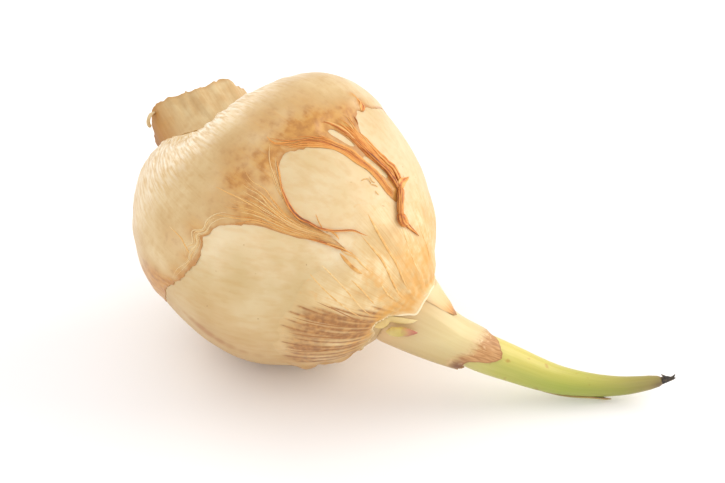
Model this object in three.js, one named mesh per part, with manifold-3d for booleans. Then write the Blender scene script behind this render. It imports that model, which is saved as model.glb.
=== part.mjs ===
// An arrowhead corm, sold as arrowroot: the round starchy tuber of a marsh plant, lying as it was
// lifted, with its dry papery scales, the stump of its runner and the green shoot it has sent out.
// Millimetres, +Z up. The origin is the middle of the flat that the corm rests on, the corm's axis
// runs down towards +X, and the shoot reaches the surface there.
import * as THREE from "three";
import { mergeVertices } from "three/addons/utils/BufferGeometryUtils.js";
import { TessellateModifier } from "three/addons/modifiers/TessellateModifier.js";
import Module from "manifold-3d";

const wasm = await Module();
wasm.setup();

// ---- Driving dimensions ------------------------------------------------------------------------
const GAP = 0.2; // air between one layer and the next
const SCALE_THICKNESS = 0.3; // dry papery scales
const SHEATH_THICKNESS = 0.5; // fleshy leaf base round the shoot

// The line that the plant grew along, from the runner's stump, through the middle of the corm, to
// the end of the shoot. Everything is measured along it and turned round it.
const SPINE_POINTS = [
  [-19.5, 11.5, 30.6],
  [-10, 4.9, 26.2],
  [0, 0, 22],
  [11, -3.6, 18.2],
  [21.2, -5.8, 14],
  [28.5, -5.3, 10.1],
  [36.5, -3.3, 6.4],
  [44, -1.3, 3.5],
  [52, 1.4, 2.5],
  [59.6, 3.9, 3.9],
];
const MIDDLE_POINT = 2; // the spine point at the middle of the corm

// Distance from the middle of the corm to its skin, every 15 degrees from the neck to the base.
const CORM_RADII = [24.2, 22.9, 22.8, 22.3, 22.1, 22.2, 22.3, 22.2, 21.1, 19.9, 18.4, 17.5, 17.2];
const RADII_STEP = 15;
// Swellings and hollows of the corm: degrees from the neck, degrees round, spread, height.
const LUMPS = [
  [14, -10, 12, 2],
  [72, 180, 30, 0.3],
  [48, 118, 22, -0.6],
  [88, 118, 24, -1],
  [95, -60, 26, -1.2],
  [112, -12, 34, 1.5],
  [122, 80, 22, 1],
  [138, 32, 15, -2.5],
  [140, -5, 17, -3.5],
  [152, 66, 16, 1.7],
];

const SHOOT_START = 22; // distances along the spine from the middle of the corm
const SHOOT_END = 64.3;
const SHEATH_START = 24.8;
const NECK_ANGLE = 13.2; // where the sheath stands on the corm, in degrees from the neck
const COLLAR_ANGLE = 154.5; // where the dry collar stands on the corm, in degrees from the neck
const STUMP_RADIUS = 6.6;
const STUMP_LENGTH = 4.2;

// ---- Places along and round the spine ----------------------------------------------------------
const SPINE_DIVISIONS = 900;
const spine = new THREE.CatmullRomCurve3(
  SPINE_POINTS.map((p) => new THREE.Vector3(...p)),
  false,
  "catmullrom",
  0.5,
);
spine.arcLengthDivisions = SPINE_DIVISIONS;
const SPINE_LENGTH = spine.getLength();
const middleDivision = (SPINE_DIVISIONS * MIDDLE_POINT) / (SPINE_POINTS.length - 1);
const MIDDLE_STATION = spine.getLengths()[middleDivision];

const radians = THREE.MathUtils.degToRad;
const lerp = THREE.MathUtils.lerp;

// The point at a station along the spine, with the directions along it, upwards and sideways.
function frameAt(station) {
  const wanted = MIDDLE_STATION + station;
  const share = THREE.MathUtils.clamp(wanted / SPINE_LENGTH, 0, 1);
  const point = spine.getPointAt(share);
  const along = spine.getTangentAt(share);
  point.addScaledVector(along, wanted - share * SPINE_LENGTH);
  const up = new THREE.Vector3(0, 0, 1).addScaledVector(along, -along.z).normalize();
  const side = new THREE.Vector3().crossVectors(along, up);
  return { point, along, up, side };
}

// Turn is in degrees round the spine: 0 on top, 90 on the -Y side, 180 underneath.
function roundSpine(station, turn, radius) {
  const { point, up, side } = frameAt(station);
  return point
    .addScaledVector(up, radius * Math.cos(radians(turn)))
    .addScaledVector(side, radius * Math.sin(radians(turn)));
}

// ---- The corm's skin ---------------------------------------------------------------------------
// A smooth line through values given at equal steps, read at any position between them.
function valuesAtSteps(values, step) {
  const padded = [values[1], ...values, values.at(-2)];
  const line = new THREE.SplineCurve(padded.map((v, i) => new THREE.Vector2(i, v)));
  return (x) => line.getPoint((x / step + 1) / (padded.length - 1)).y;
}

const skinRadius = valuesAtSteps(CORM_RADII, RADII_STEP);

function direction(angle, turn) {
  return new THREE.Vector3(
    Math.cos(radians(angle)),
    Math.sin(radians(angle)) * Math.cos(radians(turn)),
    Math.sin(radians(angle)) * Math.sin(radians(turn)),
  );
}

function lumpHeight(angle, turn) {
  const here = direction(angle, turn);
  return LUMPS.reduce((sum, [lumpAngle, lumpTurn, spread, height]) => {
    const away = here.angleTo(direction(lumpAngle, lumpTurn)) / radians(spread);
    return sum + height * Math.exp(-away * away);
  }, 0);
}

// Angle is in degrees from the neck, as seen from the middle of the corm; offset is outwards.
function onSkin(angle, turn, offset = 0) {
  const reach = skinRadius(angle) + lumpHeight(angle, turn) + offset;
  return roundSpine(reach * Math.cos(radians(angle)), turn, reach * Math.sin(radians(angle)));
}

// ---- Making closed geometry --------------------------------------------------------------------
// Moves every vertex by a function, merges what coincides and turns the faces outwards.
function moved(geometry, place) {
  const bare = new THREE.BufferGeometry();
  bare.setAttribute("position", geometry.getAttribute("position").clone());
  if (geometry.index) bare.setIndex(geometry.index.clone());
  const positions = bare.getAttribute("position");
  const vertex = new THREE.Vector3();
  for (let i = 0; i < positions.count; i++) {
    vertex.fromBufferAttribute(positions, i);
    positions.setXYZ(i, ...place(vertex.x, vertex.y, vertex.z).toArray());
  }
  const merged = mergeVertices(bare, 1e-3);
  const at = (i) => new THREE.Vector3().fromBufferAttribute(merged.getAttribute("position"), i);
  const index = Array.from(merged.index.array);
  const corners = [];
  let volume = 0;
  for (let i = 0; i < index.length; i += 3) {
    const [a, b, c] = index.slice(i, i + 3);
    if (a === b || b === c || c === a) continue;
    corners.push([a, b, c]);
    volume += at(a).dot(at(b).cross(at(c)));
  }
  merged.setIndex((volume < 0 ? corners.map(([a, b, c]) => [a, c, b]) : corners).flat());
  merged.computeVertexNormals();
  return merged;
}

function solidOf(geometry) {
  return new wasm.Manifold(
    new wasm.Mesh({
      numProp: 3,
      vertProperties: geometry.getAttribute("position").array,
      triVerts: new Uint32Array(geometry.index.array),
    }),
  );
}

function geometryOf(solid) {
  const { vertProperties, triVerts } = solid.getMesh();
  const geometry = new THREE.BufferGeometry();
  geometry.setAttribute("position", new THREE.BufferAttribute(vertProperties, 3));
  geometry.setIndex(new THREE.BufferAttribute(triVerts, 1));
  geometry.computeVertexNormals();
  return geometry;
}

// A thin sheet on a curved surface, cut to an outline with holes. The outline's points are
// [turn, along]; unit gives the millimetres that one step of each is worth, and cell is the size
// of the net that the sheet is made of. Place takes the turn, the distance along and the depth,
// from 0 on the inside to 1.
const CUT_BEYOND = 1.5; // the cutter goes this many thicknesses past both faces
const CUTTER_SLIMNESS = 20; // drawn this much too thin, so that its walls aren't divided in depth
const NET_MARGIN = 0.1;

function wrapped(outline, holes, unit, cell, place) {
  const flat = (points) => points.map(([x, y]) => new THREE.Vector2(x * unit[0], y * unit[1]));
  const bent = (x, y, z) => place(x / unit[0], y / unit[1], z);

  const shape = new THREE.Shape(flat(outline));
  shape.holes = holes.map((hole) => new THREE.Path(flat(hole)));
  const depth = (1 + 2 * CUT_BEYOND) / CUTTER_SLIMNESS;
  const cutter = new THREE.ExtrudeGeometry(shape, { depth, bevelEnabled: false });
  cutter.deleteAttribute("uv");
  cutter.deleteAttribute("normal");
  const divided = new TessellateModifier(cell, 24).modify(cutter);
  const bentCutter = moved(divided, (x, y, z) => bent(x, y, z * CUTTER_SLIMNESS - CUT_BEYOND));

  const reach = new THREE.Box2().setFromPoints(flat(outline)).expandByScalar(NET_MARGIN);
  const size = reach.getSize(new THREE.Vector2());
  const middle = reach.getCenter(new THREE.Vector2());
  const columns = Math.ceil(size.x / cell);
  const rows = Math.ceil(size.y / cell);
  const net = new THREE.BoxGeometry(size.x, size.y, 1, columns, rows, 1);
  net.translate(middle.x, middle.y, 0.5);

  return geometryOf(solidOf(moved(net, bent)).intersect(solidOf(bentCutter)));
}

// A turned body along the spine: profile points are [station, radius].
function turned(profile, segments) {
  const lathe = new THREE.LatheGeometry(
    profile.map(([station, radius]) => new THREE.Vector2(radius, station)),
    segments,
  );
  return moved(lathe, (x, y, z) =>
    roundSpine(y, THREE.MathUtils.radToDeg(Math.atan2(z, x)), Math.hypot(x, z)),
  );
}

const arrowroot = new THREE.Group();

function add(name, geometry, color, roughness) {
  const material = new THREE.MeshStandardMaterial({ color, roughness, metalness: 0 });
  const mesh = new THREE.Mesh(geometry, material);
  mesh.name = name;
  arrowroot.add(mesh);
  return mesh;
}

// ---- Corm: the fleshy body, with the flat that it rests on ---------------------------------------
const CORM_MERIDIANS = 44;
const CORM_RINGS = 28;
const sphere = new THREE.SphereGeometry(1, CORM_MERIDIANS, CORM_RINGS);

// The closed skin, or one that stands off it all round.
function cormSkin(offset = 0) {
  return moved(sphere, (x, y, z) => {
    const angle = THREE.MathUtils.radToDeg(Math.acos(THREE.MathUtils.clamp(y, -1, 1)));
    return onSkin(angle, THREE.MathUtils.radToDeg(Math.atan2(z, x)), offset);
  });
}

// A solid cut to the corm's skin where it is seated on it, with air between the two.
function seated(geometry) {
  return geometryOf(solidOf(geometry).subtract(solidOf(cormSkin(GAP))));
}

const SLAB = { width: 200, depth: 20 }; // what is cut away under the flat
const slab = new THREE.BoxGeometry(SLAB.width, SLAB.width, SLAB.depth);
const underneath = moved(slab, (x, y, z) => new THREE.Vector3(x, y, z - SLAB.depth / 2));
add("corm", geometryOf(solidOf(cormSkin()).subtract(solidOf(underneath))), 0xe9d6a0, 0.5);

// ---- Outer scale: the torn papery skin of the base half, with its curling strands ----------------
// [turn, angle from the neck]
const OUTER_SCALE_OUTLINE = [
  // along the collar at the base
  [-172, 148],
  [-120, 147],
  [-60, 147],
  [0, 148],
  [60, 148],
  [120, 148],
  [172, 148],
  // torn edge on the near side, down to the lowest strand
  [172, 106],
  [158, 103],
  [140, 106],
  [121, 99],
  [104, 96],
  [90, 92],
  [79, 89],
  [72, 88],
  [66, 89],
  [60, 86],
  [57, 84],
  [52, 80],
  [49, 75],
  [47, 70],
  [45, 65],
  [43, 59],
  [41, 54],
  [38, 46],
  [37, 50],
  [37, 56],
  // thin strand that curls round the bare patch
  [34, 55],
  [29, 51],
  [25.5, 47.5],
  [26, 50.5],
  [30, 55],
  [35, 60],
  [37, 64.5],
  [37, 68.5],
  [34, 75],
  [30, 81],
  [26, 84.5],
  [20, 84],
  [15, 79.5],
  [10.5, 75],
  [7, 71],
  [5, 68],
  [3, 63.5],
  [2, 59],
  // thick ribbon and its tail
  [0.5, 55],
  [-0.5, 51.5],
  [1, 49],
  [7, 45.5],
  [9, 42.5],
  [5, 39],
  [2, 36],
  [-1.5, 35],
  [1, 39.5],
  [0, 44],
  [-4, 47.5],
  [-7, 50.5],
  [-11.5, 53],
  [-7.5, 54],
  [-8.5, 57.5],
  [-10, 60],
  [-7.5, 62],
  [-7.5, 65],
  [-6.5, 69],
  [-5.5, 71],
  [-7.5, 76],
  [-9, 79.5],
  [-14, 82],
  [-20, 84.5],
  [-30, 88],
  [-36, 88.5],
  // torn edge on the far side
  [-50, 86],
  [-64, 80],
  [-80, 86],
  [-100, 82],
  [-118, 90],
  [-134, 95],
  [-150, 103],
  [-163, 100],
  [-172, 106],
];
const OUTER_SCALE_SLITS = [
  [
    [5, 81.5],
    [3, 79],
    [1.5, 76],
    [0.5, 71.5],
    [3, 74],
    [5, 78],
  ],
  [
    [-0.6, 67],
    [-2.6, 64.5],
    [-4.4, 61],
    [-4.8, 58],
    [-2.8, 59.5],
    [-1, 63],
  ],
];
// The middle of the ribbon, which has rolled up and is thicker than the rest.
const RIBBON_LINE = [
  [-4, 79],
  [-3, 71],
  [-5.5, 62],
  [-4.5, 56],
  [-2, 49],
  [4, 44],
  [1, 37],
];
const RIBBON_HEIGHT = 0.55;
const RIBBON_HALF_WIDTH = 2.2; // in degrees of the corm's surface
const OVERLAP_START = 60; // nearer the neck than this the strands climb over the inner scale
const OVERLAP_END = 52;

function distanceToLine(turn, angle, line) {
  const here = new THREE.Vector3(turn, angle, 0);
  let nearest = Infinity;
  for (let i = 1; i < line.length; i++) {
    const part = new THREE.Line3(
      new THREE.Vector3(...line[i - 1], 0),
      new THREE.Vector3(...line[i], 0),
    );
    const closest = part.closestPointToPoint(here, true, new THREE.Vector3());
    nearest = Math.min(nearest, closest.distanceTo(here));
  }
  return nearest;
}

function placeOuterScale(turn, angle, depth) {
  const climb = 1 - THREE.MathUtils.smoothstep(angle, OVERLAP_END, OVERLAP_START);
  const away = distanceToLine(turn, angle, RIBBON_LINE) / RIBBON_HALF_WIDTH;
  const thickness = SCALE_THICKNESS + RIBBON_HEIGHT * Math.exp(-away * away);
  return onSkin(angle, turn, GAP + climb * (SCALE_THICKNESS + GAP) + depth * thickness);
}

const SKIN_DEGREE = 0.385; // millimetres of skin to a degree, at the corm's waist
const skinUnit = [SKIN_DEGREE, SKIN_DEGREE];
const outerScale = wrapped(OUTER_SCALE_OUTLINE, OUTER_SCALE_SLITS, skinUnit, 3.4, placeOuterScale);
add("outer_scale", outerScale, 0xd3ac6c, 0.45);

// ---- Inner scale: the creased skin of the neck half, torn into points, lifting underneath --------
const INNER_SCALE_OUTLINE = [
  // round the neck, with a bay for the side bud
  [-112, 18],
  [-90, 16],
  [-60, 15.6],
  [-30, 15.6],
  [0, 15.6],
  [30, 15.6],
  [58, 15.8],
  [68, 17],
  [75, 20],
  [83, 21],
  [91, 20.5],
  [98, 20],
  [106, 21],
  [118, 21],
  [128, 22],
  [136, 25],
  [141, 30],
  [143, 37],
  [143, 44],
  // torn points, from the underside up to the top
  [132, 51],
  [118, 51],
  [103, 53],
  [96, 50],
  [92, 53],
  [87, 49],
  [83, 55],
  [80, 50],
  [77, 54],
  [73, 49],
  [66, 50],
  [55, 46],
  [44, 43],
  [32, 40],
  [18, 43],
  [8, 39],
  [-8, 44],
  [-24, 49],
  [-42, 46],
  [-60, 52],
  [-76, 47],
  [-96, 51],
  [-114, 46],
  [-132, 44],
  [-142, 36],
  [-136, 27],
  [-124, 21],
];
const LIP = { turn: 128, angle: 32, spread: 12, height: 0.4 }; // where the free margin stands off
const LIP_STRETCH = 2; // it is this much longer round the neck than along

function placeInnerScale(turn, angle, depth) {
  const lift = Math.hypot((turn - LIP.turn) / LIP_STRETCH, angle - LIP.angle) / LIP.spread;
  const stand = LIP.height * Math.exp(-lift * lift);
  return onSkin(angle, turn, GAP + stand + depth * SCALE_THICKNESS);
}

const NEAR_NECK = 0.6; // a degree round the corm is this much shorter there than at the waist
const innerUnit = [SKIN_DEGREE * NEAR_NECK, SKIN_DEGREE];
const innerScale = wrapped(INNER_SCALE_OUTLINE, [], innerUnit, 2.8, placeInnerScale);
add("inner_scale", innerScale, 0xe2c48a, 0.5);

// ---- Collar: the lowest scale, dried to a ragged ring round the stump of the runner --------------
// [turn, height above the corm]
const COLLAR_OUTLINE = [
  [-178, 0],
  [178, 0],
  [176, 4.2],
  [160, 4.8],
  [140, 4.6],
  [122, 5],
  [105, 5.2],
  [90, 5.5],
  [77, 6.1],
  [67, 6.8],
  [51, 7],
  [35, 7.3],
  [27, 7.3],
  [24, 7.8],
  [20, 7.2],
  [1, 7.4],
  [-16, 7.4],
  [-25, 6.9],
  [-31, 6.1],
  [-41, 5.2],
  [-60, 4.8],
  [-78, 4.4],
  [-96, 3.4],
  [-112, 3.8],
  [-126, 3.1],
  [-142, 4.2],
  [-160, 3.9],
  [-176, 4.2],
];
const COLLAR_LEAN = { turn: -70, slope: 0.13 }; // it leans out to this side

function placeCollar(turn, height, depth) {
  const foot = skinRadius(COLLAR_ANGLE) + lumpHeight(COLLAR_ANGLE, turn) + GAP;
  const station = foot * Math.cos(radians(COLLAR_ANGLE)) - height;
  const lean = COLLAR_LEAN.slope * Math.cos(radians(turn - COLLAR_LEAN.turn));
  const radius = foot * Math.sin(radians(COLLAR_ANGLE)) + lean * height;
  return roundSpine(station, turn, radius + depth * SCALE_THICKNESS);
}

const COLLAR_DEGREE = 0.14; // millimetres of the collar to a degree round it
const baseCollar = wrapped(COLLAR_OUTLINE, [], [COLLAR_DEGREE, 1], 2.4, placeCollar);
add("base_collar", baseCollar, 0xd8bd84, 0.6);

// ---- Runner stump: the pithy end of the runner that fed the corm ---------------------------------
const STUMP_ROOT = 1.5; // how far inside the corm's base it is drawn, before it is seated
const stumpFoot = -skinRadius(180);
const STUMP_PROFILE = [
  [stumpFoot + STUMP_ROOT, 0],
  [stumpFoot + STUMP_ROOT, STUMP_RADIUS - 0.3],
  [stumpFoot - 1, STUMP_RADIUS],
  [stumpFoot - STUMP_LENGTH * 0.8, STUMP_RADIUS - 0.4],
  [stumpFoot - STUMP_LENGTH, STUMP_RADIUS - 1.4],
  [stumpFoot - STUMP_LENGTH * 0.85, STUMP_RADIUS - 3],
  [stumpFoot - STUMP_LENGTH * 0.78, 0],
];
add("runner_stump", seated(turned(STUMP_PROFILE, 24)), 0xcdb47c, 0.8);

// ---- Shoot: the curved green leaf spike ----------------------------------------------------------
// [station, radius]
const SHOOT_PROFILE = [
  [SHOOT_START, 0],
  [SHOOT_START, 3.95],
  [27, 3.85],
  [30, 3.6],
  [33, 3.25],
  [36, 2.98],
  [39, 2.85],
  [42, 2.66],
  [45, 2.44],
  [48, 2.2],
  [51, 1.98],
  [54, 1.75],
  [57, 1.52],
  [60, 1.3],
  [62.5, 1.06],
  [63.8, 0.82],
  [SHOOT_END, 0.55],
  [SHOOT_END, 0],
];
add("shoot", seated(turned(SHOOT_PROFILE, 18)), 0xbcc65a, 0.35);

const shootLine = new THREE.SplineCurve(
  SHOOT_PROFILE.slice(2, -1).map(([station, radius]) => new THREE.Vector2(station, radius)),
);
const shootSamples = shootLine.getPoints(120);
// The shoot's radius at a station.
function shootRadius(station) {
  const next = shootSamples.findIndex((p) => p.x >= station);
  if (next <= 0) return shootSamples[next === 0 ? 0 : shootSamples.length - 1].y;
  const [a, b] = [shootSamples[next - 1], shootSamples[next]];
  return lerp(a.y, b.y, (station - a.x) / (b.x - a.x));
}

// ---- Shoot sheath: the fleshy leaf base round the shoot, ending in a dry brown tongue ------------
// [turn, station]
const SHEATH_OUTLINE = [
  [-176, SHEATH_START],
  [176, SHEATH_START],
  [176, 34.6],
  [150, 34.4],
  [111, 33.9],
  [88, 33.6],
  [76, 33.9],
  [73, 35.8],
  [62, 37.6],
  [50, 38.4],
  [36, 38.3],
  [20, 37.8],
  [5, 37.2],
  [-6, 36.3],
  [-16, 35.4],
  [-34, 34.9],
  [-60, 34.2],
  [-100, 33.8],
  [-140, 34.4],
  [-176, 34.6],
];
const SHEATH_WAIST = 36; // the station where it lies close on the shoot
const SHEATH_TAPER = 1.6;
const TONGUE_START = 33; // from here it dries out, down to the tongue's thickness
const TONGUE_END = 38;
const TONGUE_THICKNESS = 0.2;

// Where the sheath's inner face stands on the corm, on this side of the neck.
function sheathFoot(turn) {
  const reach = skinRadius(NECK_ANGLE) + lumpHeight(NECK_ANGLE, turn) + GAP;
  return {
    station: reach * Math.cos(radians(NECK_ANGLE)),
    radius: reach * Math.sin(radians(NECK_ANGLE)),
  };
}

// The sheath's inner face, at a station counted from the foot as if that were level all round.
function sheathFace(turn, station) {
  const foot = sheathFoot(turn);
  const risen = THREE.MathUtils.clamp(
    (station - SHEATH_START) / (SHEATH_WAIST - SHEATH_START),
    0,
    1,
  );
  const level = station + (foot.station - SHEATH_START) * (1 - risen) ** 2;
  const close = shootRadius(SHEATH_WAIST) + GAP;
  const tapered = lerp(close, foot.radius, (1 - risen) ** SHEATH_TAPER);
  return { station: level, radius: Math.max(tapered, shootRadius(level) + GAP) };
}

function placeSheath(turn, station, depth) {
  const face = sheathFace(turn, station);
  const dried = THREE.MathUtils.smoothstep(station, TONGUE_START, TONGUE_END);
  const thickness = lerp(SHEATH_THICKNESS, TONGUE_THICKNESS, dried);
  return roundSpine(face.station, turn, face.radius + depth * thickness);
}

const SHEATH_DEGREE = 0.078; // millimetres of the sheath to a degree round it
const sheath = wrapped(SHEATH_OUTLINE, [], [SHEATH_DEGREE, 1], 2.2, placeSheath);
add("shoot_sheath", sheath, 0xdccf96, 0.4);

// ---- Neck scale: a small pointed scale that stands up behind the neck ----------------------------
// [turn, station]
const NECK_SCALE_START = 25.2;
const NECK_SCALE_OUTLINE = [
  [-88, NECK_SCALE_START],
  [16, NECK_SCALE_START],
  [12, 26.2],
  [9, 27.6],
  [4, 29.3],
  [-2, 29.5],
  [-14, 28.7],
  [-38, 27.3],
  [-66, 26.2],
];
const NECK_SCALE_LENGTH = 5;
const NECK_SCALE_LEAN = 0.35; // how far its middle stands off the sheath
const NECK_SCALE_DEGREE = 0.095; // millimetres of it to a degree round it

function placeNeckScale(turn, station, depth) {
  const face = sheathFace(turn, station);
  const risen = THREE.MathUtils.clamp((station - NECK_SCALE_START) / NECK_SCALE_LENGTH, 0, 1);
  const clear = SHEATH_THICKNESS + GAP + NECK_SCALE_LEAN * Math.sin(Math.PI * risen);
  return roundSpine(face.station, turn, face.radius + clear + depth * SCALE_THICKNESS);
}

const neckScale = wrapped(NECK_SCALE_OUTLINE, [], [NECK_SCALE_DEGREE, 1], 1.6, placeNeckScale);
add("neck_scale", neckScale, 0xe0bd7c, 0.5);

// ---- Side bud: a small dormant bud where the inner scale meets the neck --------------------------
const BUD_RADIUS = 0.72;
// station, turn and radius of its two ends
const budFoot = roundSpine(22.8, 81, 7.3);
const budTip = roundSpine(25.9, 66, 6.2);
const budAlong = budTip.clone().sub(budFoot).normalize();
const budMiddle = budFoot.clone().lerp(budTip, 0.5);
const budLength = budFoot.distanceTo(budTip);
// [share of the length, share of the radius], from foot to tip
const BUD_PROFILE = [
  [0, 0],
  [0.02, 0.5],
  [0.18, 0.85],
  [0.42, 1],
  [0.68, 0.82],
  [0.88, 0.42],
  [1, 0],
];
const budTurn = new THREE.Quaternion().setFromUnitVectors(new THREE.Vector3(0, 1, 0), budAlong);
const budLathe = new THREE.LatheGeometry(
  BUD_PROFILE.map(
    ([share, width]) => new THREE.Vector2(width * BUD_RADIUS, (share - 0.5) * budLength),
  ),
  12,
);
const bud = moved(budLathe, (x, y, z) =>
  new THREE.Vector3(x, y, z).applyQuaternion(budTurn).add(budMiddle),
);
add("side_bud", bud, 0xc4b558, 0.45);

// ---- Under bract: the thin dry leaf along the underside, which the shoot rests on ----------------
// [turn, station]
const BRACT_OUTLINE = [
  [150, 44],
  [172, 45],
  [190, 47.5],
  [196, 50.5],
  [190, 53.5],
  [172, 55.5],
  [150, 56.9],
  [136, 56.5],
  [122, 54.5],
  [112, 51.8],
  [110, 49.5],
  [120, 47],
  [136, 45],
];
const BRACT_THICKNESS = 0.4;
const BRACT_FREE_END = 54; // beyond this it stands away from the shoot
const BRACT_FREE_SLOPE = 0.18;
const BRACT_DEGREE = 0.045; // millimetres of it to a degree round it

function placeBract(turn, station, depth) {
  const free = Math.max(0, station - BRACT_FREE_END) * BRACT_FREE_SLOPE;
  return roundSpine(station, turn, shootRadius(station) + GAP + free + depth * BRACT_THICKNESS);
}

const underBract = wrapped(BRACT_OUTLINE, [], [BRACT_DEGREE, 1], 1.8, placeBract);
add("under_bract", underBract, 0xa9a552, 0.6);

// ---- Dry tip: the dark withered end of the shoot, with its two split points ----------------------
const TIP_FOOT = SHOOT_END + 0.1;
// [distance from its foot, radius]
const TIP_PROFILE = [
  [0, 0],
  [0, 0.5],
  [0.5, 0.58],
  [1.1, 0.42],
  [1.7, 0.2],
  [1.9, 0],
];
const tipCore = turned(
  TIP_PROFILE.map(([rise, radius]) => [TIP_FOOT + rise, radius]),
  12,
);

// A small point from one place to another, [station, turn, radius] each.
function splitPoint(from, to, width) {
  const start = roundSpine(...from);
  const end = roundSpine(...to);
  const along = end.clone().sub(start);
  const cone = new THREE.ConeGeometry(width, along.length(), 8);
  const turn = new THREE.Quaternion().setFromUnitVectors(
    new THREE.Vector3(0, 1, 0),
    along.clone().normalize(),
  );
  const middle = start.lerp(end, 0.5);
  return moved(cone, (x, y, z) => new THREE.Vector3(x, y, z).applyQuaternion(turn).add(middle));
}

const backPoint = splitPoint([TIP_FOOT + 0.7, 10, 0.15], [TIP_FOOT - 0.2, 5, 1.35], 0.28);
const frontPoint = splitPoint([TIP_FOOT + 1, 0, 0], [TIP_FOOT + 1.9, -5, 0.8], 0.3);
const dryTip = solidOf(tipCore).add(solidOf(backPoint)).add(solidOf(frontPoint));
add("dry_tip", geometryOf(dryTip), 0x3f3a33, 0.8);

export default arrowroot;
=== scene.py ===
import bpy
import numpy as np
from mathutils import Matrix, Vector


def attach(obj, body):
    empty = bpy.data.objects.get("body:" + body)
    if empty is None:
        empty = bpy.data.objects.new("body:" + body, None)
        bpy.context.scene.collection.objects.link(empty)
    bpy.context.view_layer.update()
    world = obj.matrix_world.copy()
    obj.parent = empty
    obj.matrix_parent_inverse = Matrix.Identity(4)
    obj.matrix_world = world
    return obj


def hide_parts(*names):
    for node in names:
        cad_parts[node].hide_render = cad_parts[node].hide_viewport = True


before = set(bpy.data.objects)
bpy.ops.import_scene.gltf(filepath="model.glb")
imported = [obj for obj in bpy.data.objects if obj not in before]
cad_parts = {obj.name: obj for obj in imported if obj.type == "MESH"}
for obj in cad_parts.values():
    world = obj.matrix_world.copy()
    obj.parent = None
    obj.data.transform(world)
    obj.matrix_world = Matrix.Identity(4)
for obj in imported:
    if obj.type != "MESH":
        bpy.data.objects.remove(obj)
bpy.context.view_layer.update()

# ---- Corm ----------------------------------------------------------------------------------------
# The swollen stem of a marsh plant: firm white starchy flesh under a thin living skin. It grew
# along a line that runs from its base, through its middle and its neck, into the shoot, and every
# piece on it follows that line. Its weight rests on a small flat underneath.
MM = 0.001
SPINE_POINTS = np.array(
    [
        [-19.5, 11.5, 30.6], [-10, 4.9, 26.2], [0, 0, 22], [11, -3.6, 18.2], [21.2, -5.8, 14],
        [28.5, -5.3, 10.1], [36.5, -3.3, 6.4], [44, -1.3, 3.5], [52, 1.4, 2.5], [59.6, 3.9, 3.9],
    ]
)
MIDDLE_POINT = 2  # the spine point at the corm's middle
SPINE_STEPS = 60
SPINE_NEAR = 0.05  # millimetres either way, to find its direction
RADII_STEP = 15  # degrees
DIMPLE, DIMPLE_SPACING = 0.05, 5
CORM_RADII = np.array(
    [24.2, 22.9, 22.8, 22.3, 22.1, 22.2, 22.3, 22.2, 21.1, 19.9, 18.4, 17.5, 17.2]
)  # from the corm's middle to its skin, at equal steps from the neck to the base
LUMPS = [
    (14, -10, 12, 2), (72, 180, 30, 0.3), (48, 118, 22, -0.6), (88, 118, 24, -1),
    (95, -60, 26, -1.2), (112, -12, 34, 1.5), (122, 80, 22, 1), (138, 32, 15, -2.5),
    (140, -5, 17, -3.5), (152, 66, 16, 1.7),
]  # its swellings and hollows: degrees from the neck, degrees round, spread, height


def curve_through(points, steps, closed=False):
    """A smooth line through points, with so many steps from each one to the next."""
    if closed:
        padded = np.vstack([points[-1:], points, points[:2]])
    else:
        padded = np.vstack([2 * points[0] - points[1], points, 2 * points[-1] - points[-2]])
    t = (np.arange(steps) / steps)[:, None]
    parts = []
    for before, start, end, after in zip(padded, padded[1:], padded[2:], padded[3:]):
        leave, arrive = (end - before) / 2, (after - start) / 2
        bend = 2 * start - 2 * end + leave + arrive
        sway = -3 * start + 3 * end - 2 * leave - arrive
        parts.append(bend * t**3 + sway * t**2 + leave * t + start)
    if not closed:
        parts.append(points[-1:])
    return np.vstack(parts)


spine_line = curve_through(SPINE_POINTS, SPINE_STEPS)
spine_stations = np.concatenate([[0], np.linalg.norm(np.diff(spine_line, axis=0), axis=1).cumsum()])
spine_stations -= spine_stations[MIDDLE_POINT * SPINE_STEPS]


def spine_point(station):
    inside = np.clip(station, spine_stations[0], spine_stations[-1])
    return np.stack([np.interp(inside, spine_stations, axis) for axis in spine_line.T], -1)


def one_long(arrows):
    """The same directions, each with a length of one."""
    return arrows / np.linalg.norm(arrows, axis=-1, keepdims=True)


def spine_frame(station):
    """The spine's place at each station, with the directions along it, up and to the side."""
    inside = np.clip(station, spine_stations[0] + SPINE_NEAR, spine_stations[-1] - SPINE_NEAR)
    along = one_long(spine_point(inside + SPINE_NEAR) - spine_point(inside - SPINE_NEAR))
    up = one_long(np.array([0, 0, 1]) - along * along[..., 2:])
    point = spine_point(inside) + along * (station - inside)[..., None]
    return point, along, up, np.cross(along, up)


def round_spine(station, turn, radius):
    """Places in millimetres: turn is 0 on top, 90 on the -Y side and 180 underneath."""
    station, turn, radius = np.broadcast_arrays(station, turn, radius)
    point, along, up, side = spine_frame(station.astype(float))
    turn = np.radians(turn)[..., None]
    return point + radius[..., None] * (np.cos(turn) * up + np.sin(turn) * side)


radii_line = curve_through(
    np.column_stack([np.arange(-1, len(CORM_RADII) + 1), np.pad(CORM_RADII, 1, mode="reflect")]),
    SPINE_STEPS,
)


def direction(angle, turn):
    angle, turn = np.radians(np.broadcast_arrays(angle, turn))
    return np.stack(
        [np.cos(angle), np.sin(angle) * np.cos(turn), np.sin(angle) * np.sin(turn)], -1
    )


def skin_reach(angle, turn):
    """From the corm's middle to its skin, at so many degrees from the neck and round the corm."""
    reach = np.interp(np.asarray(angle) / RADII_STEP, radii_line[:, 0], radii_line[:, 1])
    here = direction(angle, turn)
    for lump_angle, lump_turn, spread, height in LUMPS:
        away = np.arccos(np.clip(here @ direction(lump_angle, lump_turn), -1, 1))
        reach = reach + height * np.exp(-((away / np.radians(spread)) ** 2))
    return reach


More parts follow.
